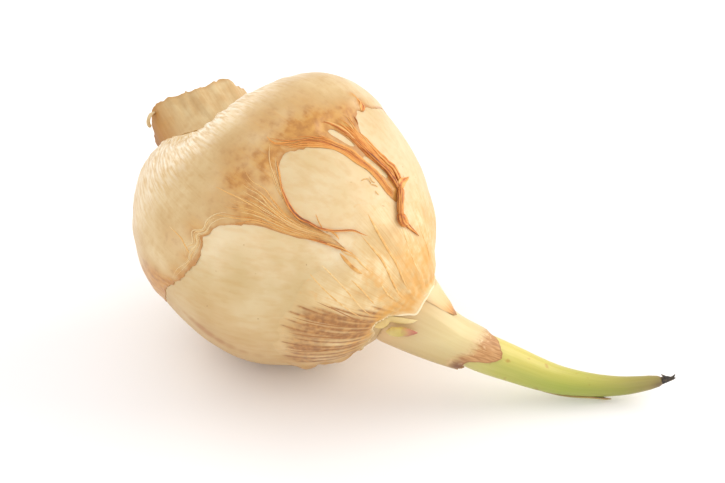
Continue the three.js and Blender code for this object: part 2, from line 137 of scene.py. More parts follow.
def on_skin(angle, turn, offset=0.0):
    """Places on the corm's skin, or so many millimetres out from it."""
    angle, turn = np.broadcast_arrays(np.asarray(angle, float), np.asarray(turn, float))
    reach = skin_reach(angle, turn) + offset
    return round_spine(reach * np.cos(np.radians(angle)), turn, reach * np.sin(np.radians(angle)))


def grain(points, seed, octaves=3):
    """Smooth random heights from -1 to 1 at any points, or columns of them, the same in every
    run."""
    if isinstance(points, tuple):
        points = np.column_stack(points)
    total, share = 0, 1
    for octave in range(octaves):
        spot = points * 2**octave + 17.3 * octave
        cell = np.floor(spot).astype(np.int64)
        part = spot - cell
        part = part * part * (3 - 2 * part)
        for corner in np.ndindex(*[2] * points.shape[1]):
            key = (cell + corner) @ np.array([73856093, 19349663, 83492791])[: points.shape[1]]
            key = (key + seed * 2654435761) & 0xFFFFFFFF
            key = ((key ^ (key >> 15)) * 2246822519) & 0xFFFFFFFF
            key = ((key ^ (key >> 13)) * 3266489917) & 0xFFFFFFFF
            weight = np.prod(np.where(corner, part, 1 - part), axis=1)
            total = total + share * weight * ((key >> 8) / 2**23 - 1)
        share /= 2
    return total


def over_corm(angle, turn, offset=0.0):
    """Places on the corm's skin with the small dimples that it really has."""
    dimples = grain(on_skin(angle, turn) / DIMPLE_SPACING, seed=3)
    return on_skin(angle, turn, offset - DIMPLE + DIMPLE * dimples)


def smooth(low, high, value):
    share = np.clip((value - low) / (high - low), 0, 1)
    return share * share * (3 - 2 * share)


def fresh(name, add, **settings):
    """Adds a primitive, with nothing else selected, and names it."""
    bpy.ops.object.select_all(action="DESELECT")
    add(**settings)
    piece = bpy.context.object
    piece.name = piece.data.name = name
    return piece


def places(piece):
    found = np.empty(len(piece.data.vertices) * 3)
    piece.data.vertices.foreach_get("co", found)
    return found.reshape(-1, 3)


def put(piece, points):
    piece.data.vertices.foreach_set("co", np.asarray(points, float).ravel())
    piece.data.update()


def clear_of_table(points, clearance=0.0):
    """Lifts what would lie lower than the clearance above the table."""
    return np.column_stack([points[:, :2], np.maximum(points[:, 2], clearance)])


def paint(piece, **given):
    """Keeps numbers for each point, under the names by which the piece's material reads them."""
    for name, values in given.items():
        layer = piece.data.attributes.new(name, "FLOAT", "POINT")
        layer.data.foreach_set("value", np.asarray(values, np.float32))


def faces_outwards(piece):
    bpy.ops.object.mode_set(mode="EDIT")
    bpy.ops.mesh.select_all(action="SELECT")
    bpy.ops.mesh.normals_make_consistent(inside=False)
    bpy.ops.object.mode_set(mode="OBJECT")


def finish_with(piece, kind, **settings):
    """Adds a modifier with its settings and applies it."""
    modifier = piece.modifiers.new(kind, kind)
    for key, value in settings.items():
        setattr(modifier, key, value)
    bpy.ops.object.modifier_apply(modifier=modifier.name)


def srgb(colour):
    """A hex colour as the linear numbers that a shader takes."""
    parts = [int(colour[i : i + 2], 16) / 255 for i in (1, 3, 5)]
    return [p / 12.92 if p <= 0.04045 else ((p + 0.055) / 1.055) ** 2.4 for p in parts] + [1]


def wire(made, **given):
    """Gives a node's settings and sockets their values, or links them. _0 is its first socket,
    and stops are the (position, hex colour) pairs of a colour ramp."""
    for name, value in given.items():
        if name == "stops":
            elements = made.color_ramp.elements
            while len(elements) < len(value):
                elements.new(0.5)
            for element, (position, colour) in zip(elements, value):
                element.position = position
                element.color = srgb(colour)
            continue
        if hasattr(made, name):
            setattr(made, name, value)
            continue
        socket = made.inputs[int(name[1:]) if name[0] == "_" else name.replace("_", " ")]
        if isinstance(value, bpy.types.Node):
            value = value.outputs.get("Fac", value.outputs[0])
        if isinstance(value, bpy.types.NodeSocket):
            tree.links.new(value, socket)
        else:
            socket.default_value = srgb(value) if isinstance(value, str) else value


def node(kind, **given):
    """Adds a node to the tree in hand, with its settings and links."""
    made = tree.nodes.new("ShaderNode" + kind)
    wire(made, **given)
    return made


def new_material(name):
    """A material, with the tree that its nodes go to, its shader and its coordinates."""
    material = bpy.data.materials.new(name)
    material.use_nodes = True
    tree = material.node_tree
    coords = tree.nodes.new("ShaderNodeTexCoord").outputs
    return material, tree, tree.nodes["Principled BSDF"], coords


def dress(piece, material, slot, *nodes):
    """Gives a finished piece its material and its body, and hides the nodes it stands for. Its slot
    is not used.
    """
    piece.data.materials.clear()
    piece.data.materials.append(material)
    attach(piece, "root")
    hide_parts(*nodes)


def around_axis(piece):
    """How far from the pole of a unit ball each point is, and how far round, in degrees."""
    ball = places(piece)
    angle = np.degrees(np.arccos(np.clip(ball[:, 2] / np.linalg.norm(ball, axis=1), -1, 1)))
    return angle, np.degrees(np.arctan2(ball[:, 1], ball[:, 0]))


LOW_BROWN_SPOTS = [
    (108, 87.5, 1, 0.6), (110, 85, 1.2, 0.8), (112, 82, 1.5, 1), (114, 79, 1.5, 1),
    (116, 75, 1.4, 0.9), (117.5, 71, 1.3, 0.75), (119, 66, 1.2, 0.65), (121, 60, 1.4, 0.55),
]  # where its skin is darker brown low along one side: turn, angle, spread in millimetres, strength
CORM_MERIDIANS = 260
CORM_RINGS = 170
corm = fresh(
    "corm_flesh", bpy.ops.mesh.primitive_uv_sphere_add,
    segments=CORM_MERIDIANS, ring_count=CORM_RINGS, radius=1,
)
angle, turn = around_axis(corm)
corm_points = over_corm(angle, turn)
bruise = np.zeros(len(corm_points))
for spot_turn, spot_angle, spread, strength in LOW_BROWN_SPOTS:
    away = np.linalg.norm(corm_points - on_skin(spot_angle, spot_turn), axis=1)
    bruise = np.maximum(bruise, strength * np.exp(-((away / spread) ** 2)))
paint(corm, bruise=bruise)
put(corm, clear_of_table(corm_points) * MM)
faces_outwards(corm)
bpy.ops.object.shade_smooth()


def tinted(colour, share, pattern, stops):
    """A colour multiplied, as strongly as the share says, by the colours that a pattern takes."""
    tints = node("ValToRGB", Fac=pattern, stops=stops)
    return node("MixRGB", blend_type="MULTIPLY", Fac=share, Color1=colour, Color2=tints)


def flesh_colour(place):
    """Cream with pale clouds, faint lines along the corm and a few tiny brown specks, with painted
    shade that darkens it towards the bottom and leaves it palest high up."""
    cloudy = node("TexNoise", Vector=place, Scale=1 / (7 * MM), Detail=3)
    base = node("ValToRGB", Fac=cloudy, stops=[(0.3, "#dcc290"), (0.5, "#e2ca9d"), (0.7, "#e8d5ae")])
    lengthwise = node(
        "Mapping", Vector=place, Rotation=(0, 0.36, 0.32),
        Scale=(0.3 / MM, 1.1 / MM, 1.1 / MM),
    )
    streaks = node("TexNoise", Vector=lengthwise, Scale=1, Detail=5)
    base = tinted(base, 0.25, streaks, [(0.34, "#ecca90"), (0.56, "#ffffff")])
    # Painted light and shade by height over the table: darker towards the bottom, palest high up.
    height = node("SeparateXYZ", _0=place).outputs["Z"]
    uneven = node("Math", operation="MULTIPLY_ADD", _0=cloudy, _1=7 * MM, _2=height)
    base = tinted(
        base, 1, node("MapRange", Value=uneven, From_Min=6 * MM, From_Max=42 * MM),
        [(0.1, "#dcc9a9"), (0.64, "#ebe6d7"), (0.82, "#ffffff"), (1, "#f4f1e9")],
    )
    specks = node("TexNoise", Vector=place, Scale=1 / (0.8 * MM), Detail=1)
    base = tinted(base, 0.5, specks, [(0.2, "#b98a4e"), (0.235, "#ffffff")])
    return base, streaks


# Living skin over white starch: smooth, with a soft shine, and light goes a little way into it.
material, tree, skin, coords = new_material("corm_living_skin")
base, streaks = flesh_colour(coords["Object"])
# Browner in a strip low along one side of the corm.
bruise = node("Attribute", attribute_name="bruise")
uneven = node("Math", operation="MULTIPLY_ADD", _0=streaks, _1=0.8, _2=bruise)
low_browned = node("MapRange", Value=uneven, From_Min=0.65, From_Max=1.25, To_Max=0.85)
base = node("MixRGB", Fac=low_browned, Color1=base, Color2="#ae783f")
bumps = node("Bump", Strength=0.2, Distance=0.05 * MM, Height=streaks)
wire(
    skin, Base_Color=base, Normal=bumps, Roughness=0.42, Subsurface_Weight=0.12,
    Subsurface_Radius=(1, 0.6, 0.3), Subsurface_Scale=1.5 * MM,
)
dress(corm, material, "corm_skin", "corm")

# ---- Outer scale ---------------------------------------------------------------------------------
# The dead leaf base that still wraps the base half of the corm: a papery skin with fine fibres
# along the corm. It has torn open on one side, and what is left there has dried into brown
# strands that lie over the bare flesh and have rolled up at their ends.
GAP = 0.2
SCALE_THICKNESS = 0.3
SKIN_DEGREE = 0.385  # millimetres of skin to a degree, at the corm's waist
OUTER_RIM = [(-172, 150), (-120, 150), (-60, 150), (0, 151), (60, 151.4), (120, 151), (172, 150)]
OUTER_TEAR = [
    (172, 106), (158, 103), (140, 106), (121, 99), (108, 96.5), (99.5, 95.2), (91.8, 92.2),
    (88.5, 90.8), (80.5, 88.5), (73.2, 87.2), (66.8, 88.2), (65, 89.5), (62.5, 87.6), (58.8, 87),
    (53.8, 82), (50.8, 78.2), (48.8, 74), (47, 67.8), (44.4, 62.5), (41, 57), (37.8, 49),
    (37, 52), (36.8, 56.5), (38, 61.8), (38.8, 66), (37.8, 70.8), (35.8, 74), (33.8, 77),
    (31.4, 79.5), (28.6, 82.8), (25.6, 84.8), (22, 84.6), (19.2, 83.2), (15.2, 80.5), (10, 75.8),
    (6.8, 71), (5.4, 66.2), (3.2, 61.8), (2.6, 56.6), (1.7, 51.6), (-0.4, 48.4), (-4, 48),
    (-7, 50), (-9, 53.5), (-9.8, 56.2), (-10, 59), (-7.7, 61.8), (-6.7, 66.2), (-6.2, 71.5),
    (-6.8, 74), (-8, 76.4), (-9.2, 78.5), (-11.2, 80.8), (-14, 82.2), (-15.4, 81.2), (-17, 81.6),
    (-20.5, 82.8), (-24, 81.6), (-28, 81.4), (-34, 83), (-50, 84), (-64, 80), (-80, 86),
    (-100, 82), (-118, 90), (-134, 95), (-150, 103), (-163, 100), (-172, 106),
]
OUTER_SLITS = [
    [
        (4.9, 82.2), (2.6, 80.2), (1.2, 76.2), (0.3, 72.6), (0.2, 69.8), (2.5, 72.2), (3.9, 76),
        (5.2, 79.6),
    ],
    [
        (1.3, 67.8), (-1, 65.6), (-3, 61.6), (-4.4, 57.4), (-4, 54.8), (-1.3, 58.4), (0.1, 61.6),
        (1.5, 64.4),
    ],
]
STAINS = [
    (29, 88, 2.6, 0.8), (34, 84, 2, 0.65), (24, 89, 2.2, 0.8), (19.5, 89, 2.8, 0.7),
    (12.8, 86.5, 3.2, 1), (6.8, 85, 3.2, 1), (10.8, 80, 2.4, 1), (0, 81, 3, 1), (-7, 81, 2.6, 0.9),
    (-18.4, 84.4, 1, 1.2), (-16.8, 90, 0.7, 0.7), (4, 70, 2.2, 1), (0, 62, 2.2, 1),
    (-4, 54, 2.4, 1), (40, 90, 2.6, 0.8), (45, 81, 3.2, 0.8), (43, 71, 2.6, 0.75),
    (2.5, 57, 1.8, 1.2), (0.5, 51, 1.8, 1.2), (40, 62, 2.4, 0.7), (64, 91, 1.8, 0.6),
    (97, 97.5, 2.2, 1.2), (92, 93, 1.2, 0.9), (104, 101, 2.4, 1.3), (100, 95, 1.6, 1.2),
    (112, 101, 2, 1), (122, 98, 2.4, 0.7), (34, 95, 2.6, 0.5), (18, 97, 3.2, 0.45),
    (55, 88, 1.6, 0.4), (75, 90, 1.2, 0.5), (72, 97, 1.6, 0.3), (84, 91, 1.2, 0.5),
    (5, 95, 3, 0.35), (50, 93, 1.8, 0.3),
]  # where it has turned orange-brown: turn, angle, spread in millimetres, strength
STAIN_SPREAD = 1.2  # how much wider than that its soft edge reaches
OUTLINE_STEPS = 4
FIBRE_PITCH, FIBRE_LENGTH = 0.5, 4
NEIGHBOURS = ((0, 1), (1, 0), (0, -1), (-1, 0), (1, 1), (1, -1), (-1, 1), (-1, -1))


def distance_to_line(points, line):
    """From each point to a line of points."""
    nearest = np.full(len(points), np.inf)
    for start, end in zip(line, line[1:]):
        along = end - start
        share = np.clip((points - start) @ along / np.linalg.norm(along) ** 2, 0, 1)
        away = np.linalg.norm(points - start - share[:, None] * along, axis=1)
        nearest = np.minimum(nearest, away)
    return nearest


def depth_inside(points, ring):
    """How far inside a closed outline each point is, and below zero outside it."""
    closed = np.vstack([ring, ring[:1]])
    inside = np.zeros(len(points), bool)
    for (x0, y0), (x1, y1) in zip(closed, closed[1:]):
        if y0 == y1:
            continue
        crosses = (y0 > points[:, 1]) != (y1 > points[:, 1])
        inside ^= crosses & (points[:, 0] < x0 + (points[:, 1] - y0) * (x1 - x0) / (y1 - y0))
    away = distance_to_line(points, closed)
    return np.where(inside, away, -away)


def keep_pattern(piece, flat):
    """Keeps the flat pattern, in millimetres, as the UV map that the fibres follow."""
    layer = piece.data.uv_layers.get("UVMap") or piece.data.uv_layers.new(name="UVMap")
    corners = np.empty(len(piece.data.loops), int)
    piece.data.loops.foreach_get("vertex_index", corners)
    layer.data.foreach_set("uv", flat[corners].ravel())


def cut_sheet(name, outline, unit, cell, fray, slits=(), flip=True):
    """Cuts a sheet with torn edges, still flat, and keeps its pattern. Returns it with its places
    in millimetres, how deep inside the outline they are, and their two coordinates as the outline
    gives them. Fray is how far the fibres stick out of the tear. Flip turns its faces over, where
    its pattern runs from the neck to the base."""
    ring = curve_through(np.array(outline) * unit, OUTLINE_STEPS, closed=True)
    low, high = ring.min(0) - 1, ring.max(0) + 1
    columns, rows = ((high - low) / cell).astype(int)
    sheet = fresh(
        name, bpy.ops.mesh.primitive_grid_add,
        x_subdivisions=int(columns), y_subdivisions=int(rows), size=1,
    )
    flat = places(sheet)[:, :2] * (high - low) + (low + high) / 2
    fibres = grain((flat[:, 0] / FIBRE_PITCH, flat[:, 1] / FIBRE_LENGTH), seed=11)
    wander = grain(flat / 2.2, seed=12)
    torn = flat + fray * np.column_stack([0.4 * wander, fibres + 0.5 * wander])
    depth = depth_inside(torn, ring)
    for slit in slits:
        depth = np.minimum(depth, -depth_inside(flat, np.array(slit) * unit))
    across = len(np.unique(flat[:, 0].round(6)))
    table = depth.reshape(-1, across)
    spots = flat.reshape(-1, across, 2)
    edge = np.zeros(table.shape, bool)
    cut = spots.copy()
    for step in NEIGHBOURS:
        other = np.roll(table, step, axis=(0, 1))
        meets = (table < 0) & (other > 0) & ~edge
        share = (table / np.where(meets, table - other, 1))[..., None]
        moved = spots + (np.roll(spots, step, (0, 1)) - spots) * share
        cut = np.where(meets[..., None], moved, cut)
        edge |= meets
    put(sheet, np.column_stack([cut.reshape(-1, 2), np.maximum(depth, 0)]))
    bpy.ops.object.mode_set(mode="EDIT")
    bpy.ops.mesh.select_all(action="DESELECT")
    bpy.ops.object.mode_set(mode="OBJECT")
    sheet.data.vertices.foreach_set("select", (table <= 0).ravel())
    bpy.ops.object.mode_set(mode="EDIT")
    bpy.ops.mesh.select_mode(type="VERT")
    bpy.ops.mesh.delete(type="ONLY_FACE")
    bpy.ops.mesh.select_all(action="SELECT")
    bpy.ops.mesh.delete_loose()
    bpy.ops.mesh.select_all(action="SELECT")
    if flip:
        bpy.ops.mesh.flip_normals()
    bpy.ops.object.mode_set(mode="OBJECT")
    flat, depth = places(sheet)[:, :2], places(sheet)[:, 2]
    keep_pattern(sheet, flat)
    return sheet, flat, depth, *(flat / unit).T


SHARP_EDGE = np.radians(50)


def thicken(sheet, thickness, share):
    """Gives a placed sheet its thickness, inwards, with each point's share of it."""
    group = sheet.vertex_groups.new(name="thickness")
    for index, weight in enumerate(share):
        group.add([index], float(weight), "REPLACE")
    finish_with(
        sheet, "SOLIDIFY", thickness=thickness * MM, offset=-1, vertex_group=group.name,
        use_rim=True,
    )
    sheet.vertex_groups.clear()
    bpy.ops.object.shade_smooth_by_angle(angle=SHARP_EDGE)


OUTER_CELL = 0.32
OUTER_FRAY = 0.22
SKIN_CLEARANCE = 0.02
SHOULDER_TURN, SHOULDER_SPREAD = 28, 50  # where round the corm its shoulder is most wrinkled
OUTER_EDGE, OUTER_LIFT = 0.03, 0.4  # how far off the skin its edge is, and how much more the rest
PUCKER, WAVE, CRUMPLE, PULL = 0.16, 0.1, 0.4, 0.05  # how far each kind of wrinkle stands out
SETTLED = 2.2  # this far inside its edge it has settled at its full height and thickness
BASE_HALF = 120  # beyond this angle its edge is the rim at the base, which isn't torn
FAR = 9  # millimetres: anywhere away from the edge that matters
outer_ring = curve_through(
    np.array(OUTER_RIM + OUTER_TEAR) * SKIN_DEGREE, OUTLINE_STEPS, closed=True
)


def outer_surface(turn, angle):
    """How far the outer scale's outside stands off the skin, and how far it is from its edge."""
    flat = np.column_stack([turn, angle]) * SKIN_DEGREE
    inside = depth_inside(flat, outer_ring)
    for slit in OUTER_SLITS:
        inside = np.minimum(inside, -depth_inside(flat, np.array(slit) * SKIN_DEGREE))
    settled = smooth(0, SETTLED, inside)
    shoulder = smooth(104, 120, angle) * smooth(152, 146, angle)
    shoulder = shoulder * (0.35 + 0.65 * np.exp(-(((turn - SHOULDER_TURN) / SHOULDER_SPREAD) ** 2)))
    puckers = grain((flat[:, 0] / 0.9, flat[:, 1] / 3), seed=21, octaves=2)
    waves = grain(on_skin(angle, turn) / 6, seed=22)
    crumpled = grain(flat / 1.5, seed=23, octaves=2) * np.exp(-((inside / 1.1) ** 2))
    crumpled = np.abs(crumpled) * (0.2 + 0.6 * smooth(58, 64, turn) * smooth(102, 92, turn))
    pulls = grain((flat[:, 0] / 1.4, flat[:, 1] / 9), seed=24, octaves=2)
    offset = OUTER_EDGE + OUTER_LIFT * settled + PUCKER * shoulder * puckers + WAVE * waves * settled
    return offset + CRUMPLE * crumpled + PULL * pulls * settled, inside, shoulder


outer, flat, depth, turn, angle = cut_sheet(
    "outer_scale_skin", OUTER_RIM + OUTER_TEAR, SKIN_DEGREE, OUTER_CELL, OUTER_FRAY, OUTER_SLITS
)
offset, inside, shoulder = outer_surface(turn, angle)
from_tear = np.where(angle > BASE_HALF, FAR, inside)
stain = np.zeros(len(flat))
for stain_turn, stain_angle, spread, strength in STAINS:
    away = np.hypot(turn - stain_turn, angle - stain_angle) * SKIN_DEGREE
    stain = np.maximum(stain, strength * np.exp(-((away / spread / STAIN_SPREAD) ** 2)))
paint(outer, tear=from_tear, stain=stain, shoulder=shoulder)
put(outer, clear_of_table(over_corm(angle, turn, offset), SKIN_CLEARANCE) * MM)
thicken(outer, SCALE_THICKNESS, 0.2 + 0.8 * smooth(0, SETTLED, inside))


def fibres_along(width, length, scale=1, detail=4, roughness=0.5):
    """Noise drawn out along a piece's pattern, in lines so many millimetres wide and long."""
    along = node("Mapping", Vector=coords["UV"], Scale=(1 / width, 1 / length, 1))
    return node("TexNoise", Vector=along, Scale=scale, Detail=detail, Roughness=roughness)


def edged(colour, depth, near, far, share, at_edge):
    """A colour that turns to another towards the edge, as its depth falls from far to near."""
    rim = node("MapRange", Value=depth, From_Min=near, From_Max=far, To_Min=share, To_Max=0)
    return node("MixRGB", Fac=rim, Color1=colour, Color2=at_edge)


# Dead leaf skin, dried to paper: tan, with its fibres standing in fine lines, wrinkled on the
# shoulder, with painted highlights on those wrinkles, and stained orange-brown where it tore,
# so that the eye sees a thin dry wrapping.
material, tree, skin, coords = new_material("outer_scale_papery_skin")
fibres = fibres_along(0.3, 6)
cloudy = node("TexNoise", Vector=coords["Object"], Scale=1 / (6 * MM), Detail=4)
mottled = node("TexNoise", Vector=coords["Object"], Scale=1 / (1.1 * MM), Detail=5)
base = node("ValToRGB", Fac=cloudy, stops=[(0.32, "#cbaa73"), (0.5, "#d5b884"), (0.68, "#dec697")])
base = tinted(base, 0.18, fibres, [(0.36, "#e0c08c"), (0.58, "#ffffff")])
base = tinted(base, 0.25, mottled, [(0.34, "#e6c894"), (0.54, "#ffffff")])
stain = node("Attribute", attribute_name="stain")
patchy = node("Math", operation="MULTIPLY_ADD", _0=mottled, _1=0.6, _2=stain)
patchy = node("Math", operation="MULTIPLY_ADD", _0=fibres, _1=0.5, _2=patchy)
stained = node("MapRange", Value=patchy, From_Min=0.62, From_Max=1.32, To_Max=0.95)
orange = node("ValToRGB", Fac=mottled, stops=[(0.34, "#cd994a"), (0.5, "#c2883d"), (0.66, "#b07631")])
base = node("MixRGB", Fac=stained, Color1=base, Color2=orange)
tear = node("Attribute", attribute_name="tear")
uneven = node("Math", operation="MULTIPLY_ADD", _0=mottled, _1=-0.8, _2=tear)
base = edged(base, uneven, -0.4, 0.15, 0.9, "#b97f3f")
shoulder = node("Attribute", attribute_name="shoulder")
wrinkles = fibres_along(0.42, 2.4, detail=2)
# Painted highlight: pale strokes on the shoulder's wrinkles, where they catch the light.
painted_wrinkle_highlight = node("ValToRGB", Fac=wrinkles, stops=[(0.36, "#dbb87f"), (0.5, "#f0dab0"), (0.62, "#fdf2d8")])
highlight_share = node("Math", operation="MULTIPLY", _0=shoulder, _1=0.85)
base = node("MixRGB", Fac=highlight_share, Color1=base, Color2=painted_wrinkle_highlight)
high = node("Math", operation="MULTIPLY", _0=wrinkles, _1=shoulder)
bumps = node("Bump", Strength=0.8, Distance=0.3 * MM, Height=high)
bumps = node("Bump", Strength=0.3, Distance=0.08 * MM, Height=fibres, Normal=bumps)
wire(skin, Base_Color=base, Normal=bumps, Roughness=0.36)
dress(outer, material, "outer_scale_skin", "outer_scale")

# ---- Strands -------------------------------------------------------------------------------------
# Where the outer scale tore, its fibres have parted and dried: a fan of them runs down to a wiry
# thread round the bare patch, and two bands of them join in a thick kinked ribbon with a thin tail.
THREAD = [
    (25.8, 86), (28.8, 82.8), (31.8, 79.5), (34.2, 77), (36.2, 74), (38, 70.8), (38.8, 67.2),
    (38, 64.2), (37.3, 61), (35.5, 58), (32.2, 55), (28.5, 52), (27, 49.4), (25.2, 46.8),
]
FAN_LOWER = [
    (60, 91), (58, 87.6), (53.5, 82.6), (50.4, 78.6), (48.4, 74.2), (46.6, 68), (44, 62.6),
    (40.8, 57), (37.8, 48.5),
]
FAN_UPPER = [
    (33, 93), (35.5, 87), (37, 81), (38.8, 76), (40, 71), (40, 66), (38.6, 61), (36.6, 57),
    (35.5, 54),
]
BAY_OUTER = [(23, 93.5), (28.5, 88), (32.5, 82), (36, 76.5), (38.6, 71), (39.8, 66), (38.5, 60.5)]
BAY_INNER = [(21, 88), (26, 85), (29.6, 81.5), (33.2, 77.6), (36, 73), (37.8, 68), (37.5, 62.5)]
BAND_LOWER = [
    (26, 89), (21.5, 85.6), (17.5, 82.8), (13, 79), (9, 74.8), (7, 71), (5.6, 66.2), (3.2, 62),
    (2.4, 56.8), (1.4, 51.8), (-0.6, 49),
]
BAND_UPPER = [
    (20, 92), (15.5, 88), (11.6, 84.8), (8, 80), (5.6, 75), (3, 71), (1.6, 66.5), (0.6, 63),
    (-1, 58.8), (-0.9, 55), (-2.2, 50.5),
]
EDGE_LOWER = [
    (53, 83), (56, 86), (59, 87.7), (62.5, 88), (65, 89.9), (67, 88.4), (72, 87.6), (77, 88.4),
    (83, 89.6), (90, 91.8), (97, 95),
]
EDGE_UPPER = [
    (50, 85), (54, 89), (58, 91), (62, 90.6), (65, 93), (69, 91), (71, 93), (75, 91), (82, 94),
    (89, 94.4), (96, 99),
]
RIBBON_LEFT = [
    (8, 87), (4, 84.5), (1.5, 80.5), (-0.2, 76), (-0.4, 72), (-0.7, 69), (-1.5, 65.2), (-3.4, 60.8),
    (-4.4, 56.8), (-4, 52),
]
RIBBON_RIGHT = [
    (-6, 84), (-6.5, 80.5), (-6, 77.5), (-5.5, 75), (-6, 71.5), (-6.7, 66.2), (-7.7, 61.8),
    (-9.6, 58.8), (-9.5, 56.2), (-8.2, 52.5),
]
RIDGE = 0.14  # how far the ridges of a strip stand out, as a share of its size
END_FULLNESS = 2.5  # how soon a strip reaches its full size from its ends
ROUGH_LENGTH, ROUGH_TURN = 0.8, 25  # how far apart its lumps are, along it and round it
FIBRE_WIDTHS = np.array([0.4, 1, 0.9, 0.7, 0.3])
FIBRE_HEIGHTS = np.array([0.5, 1, 1, 0.8, 0.4])


def at_shares(values, share):
    """Reads values given at equal steps from one end to the other."""
    values = np.asarray(values, float)
    steps = np.linspace(0, 1, len(values))
    if values.ndim == 1:
        return np.interp(share, steps, values)
    return np.stack([np.interp(share, steps, column) for column in values.T], -1)


def sweep(name, path, width, height, rings, grooves=0, seed=0, tone=(0.5,), segments=12):
    """A closed strip along a path, which gives the middle and the outward direction at any share
    of the way. Width and height are half sizes in millimetres, at equal steps along it."""
    strip = fresh(
        name, bpy.ops.mesh.primitive_uv_sphere_add, segments=segments, ring_count=rings, radius=1
    )
    angle, turn = around_axis(strip)
    share = angle / 180
    middle, out = path(share)
    across = one_long(np.cross(out, path(share + 0.01)[0] - path(share - 0.01)[0]))
    rounded = np.sqrt(np.clip(np.sin(np.radians(angle)) * END_FULLNESS, 0, 1))
    length = np.linalg.norm(np.diff(path(np.linspace(0, 1, 40))[0], axis=0), axis=1).sum()
    rough = grain((share * length / ROUGH_LENGTH, turn / ROUGH_TURN), seed=seed + 40)
    ridge = np.cos(np.radians(turn) * grooves)
    ridged = 1 + RIDGE * ridge * (grooves > 0) + RIDGE * rough
    wide = at_shares(width, share) * rounded * ridged
    high = at_shares(height, share) * rounded * ridged
    spin = np.radians(turn)[:, None]
    sideways = across * np.cos(spin) * wide[:, None]
    put(strip, (middle + sideways + out * np.sin(spin) * high[:, None]) * MM)
    # Painted shade in the grooves between its ridges, with a random tone from its lumps.
    groove = (0.5 - 0.5 * ridge) * (grooves > 0) + 0.3 * rough
    paint(strip, groove=groove, tone=at_shares(tone, share), share=share)
    keep_pattern(strip, np.column_stack([turn / 60, share * length]))
    faces_outwards(strip)
    bpy.ops.object.shade_smooth()
    return strip


def path_through(middle, out):
    """A path for sweep, from a line of places and the outward direction at each of them."""

    def path(share):
        return at_shares(middle, share), at_shares(out, share)

    return path


def skin_path(line, lift, surface):
    """A path over the corm through (turn, angle) places, lifted off a surface that lies on it."""
    turn, angle = curve_through(np.array(line, float), 10).T
    rise = surface(turn, angle)[0] + at_shares(lift, np.linspace(0, 1, len(turn)))
    middle = over_corm(angle, turn, rise)
    return path_through(middle, over_corm(angle, turn, rise + 1) - middle)


def fan(name, low, high, count, width, height, tones, seed, starts=0.3, ends=0.2):
    """Many thin fibres side by side between two lines on the corm, joined in one piece."""
    rng = np.random.default_rng(seed)
    low, high = np.array(low, float), np.array(high, float)
    made = []
    for index in range(count):
        side = (index + rng.uniform(0.2, 0.8)) / count
        line = low + (high - low) * (side + rng.normal(0, 0.25 / count, (len(low), 1)))
        path = skin_path(line, [0], outer_surface)
        start, end = rng.uniform(0, starts), 1 - rng.uniform(0, ends)

        def part(share, path=path, start=start, end=end):
            return path(start + (end - start) * np.asarray(share))

        widths = width * rng.uniform(0.5, 1.3) * FIBRE_WIDTHS
        made.append(
            sweep(
                name, part, widths, height * FIBRE_HEIGHTS, rings=44, seed=seed + index,
                tone=[rng.uniform(*tones)], segments=8,
            )
        )
    bpy.ops.object.select_all(action="DESELECT")
    for piece in made:
        piece.select_set(True)
    bpy.context.view_layer.objects.active = made[0]
    bpy.ops.object.join()
    made[0].name = made[0].data.name = name
    return made[0]


strands = [
    fan("parted_fibres", FAN_LOWER, FAN_UPPER, 15, 0.08, 0.035, (0.12, 0.4), 1),
    fan("parted_fibres_dark", FAN_LOWER, FAN_UPPER, 7, 0.045, 0.05, (0.4, 0.65), 2),
    fan("bay_edge_fibres", BAY_OUTER, BAY_INNER, 6, 0.09, 0.08, (-0.1, 0.5), 3),
    fan("band_fibres", BAND_LOWER, BAND_UPPER, 15, 0.12, 0.08, (0.25, 0.85), 4, ends=0.03),
    fan(
        "crumpled_edge_fibres", EDGE_LOWER, EDGE_UPPER, 6, 0.08, 0.05, (-0.2, 0.1), 6,
        starts=0.4, ends=0.4,
    ),
    fan("ribbon_fibres", RIBBON_LEFT, RIBBON_RIGHT, 10, 0.19, 0.18, (0.25, 0.8), 5, ends=0.03),
]
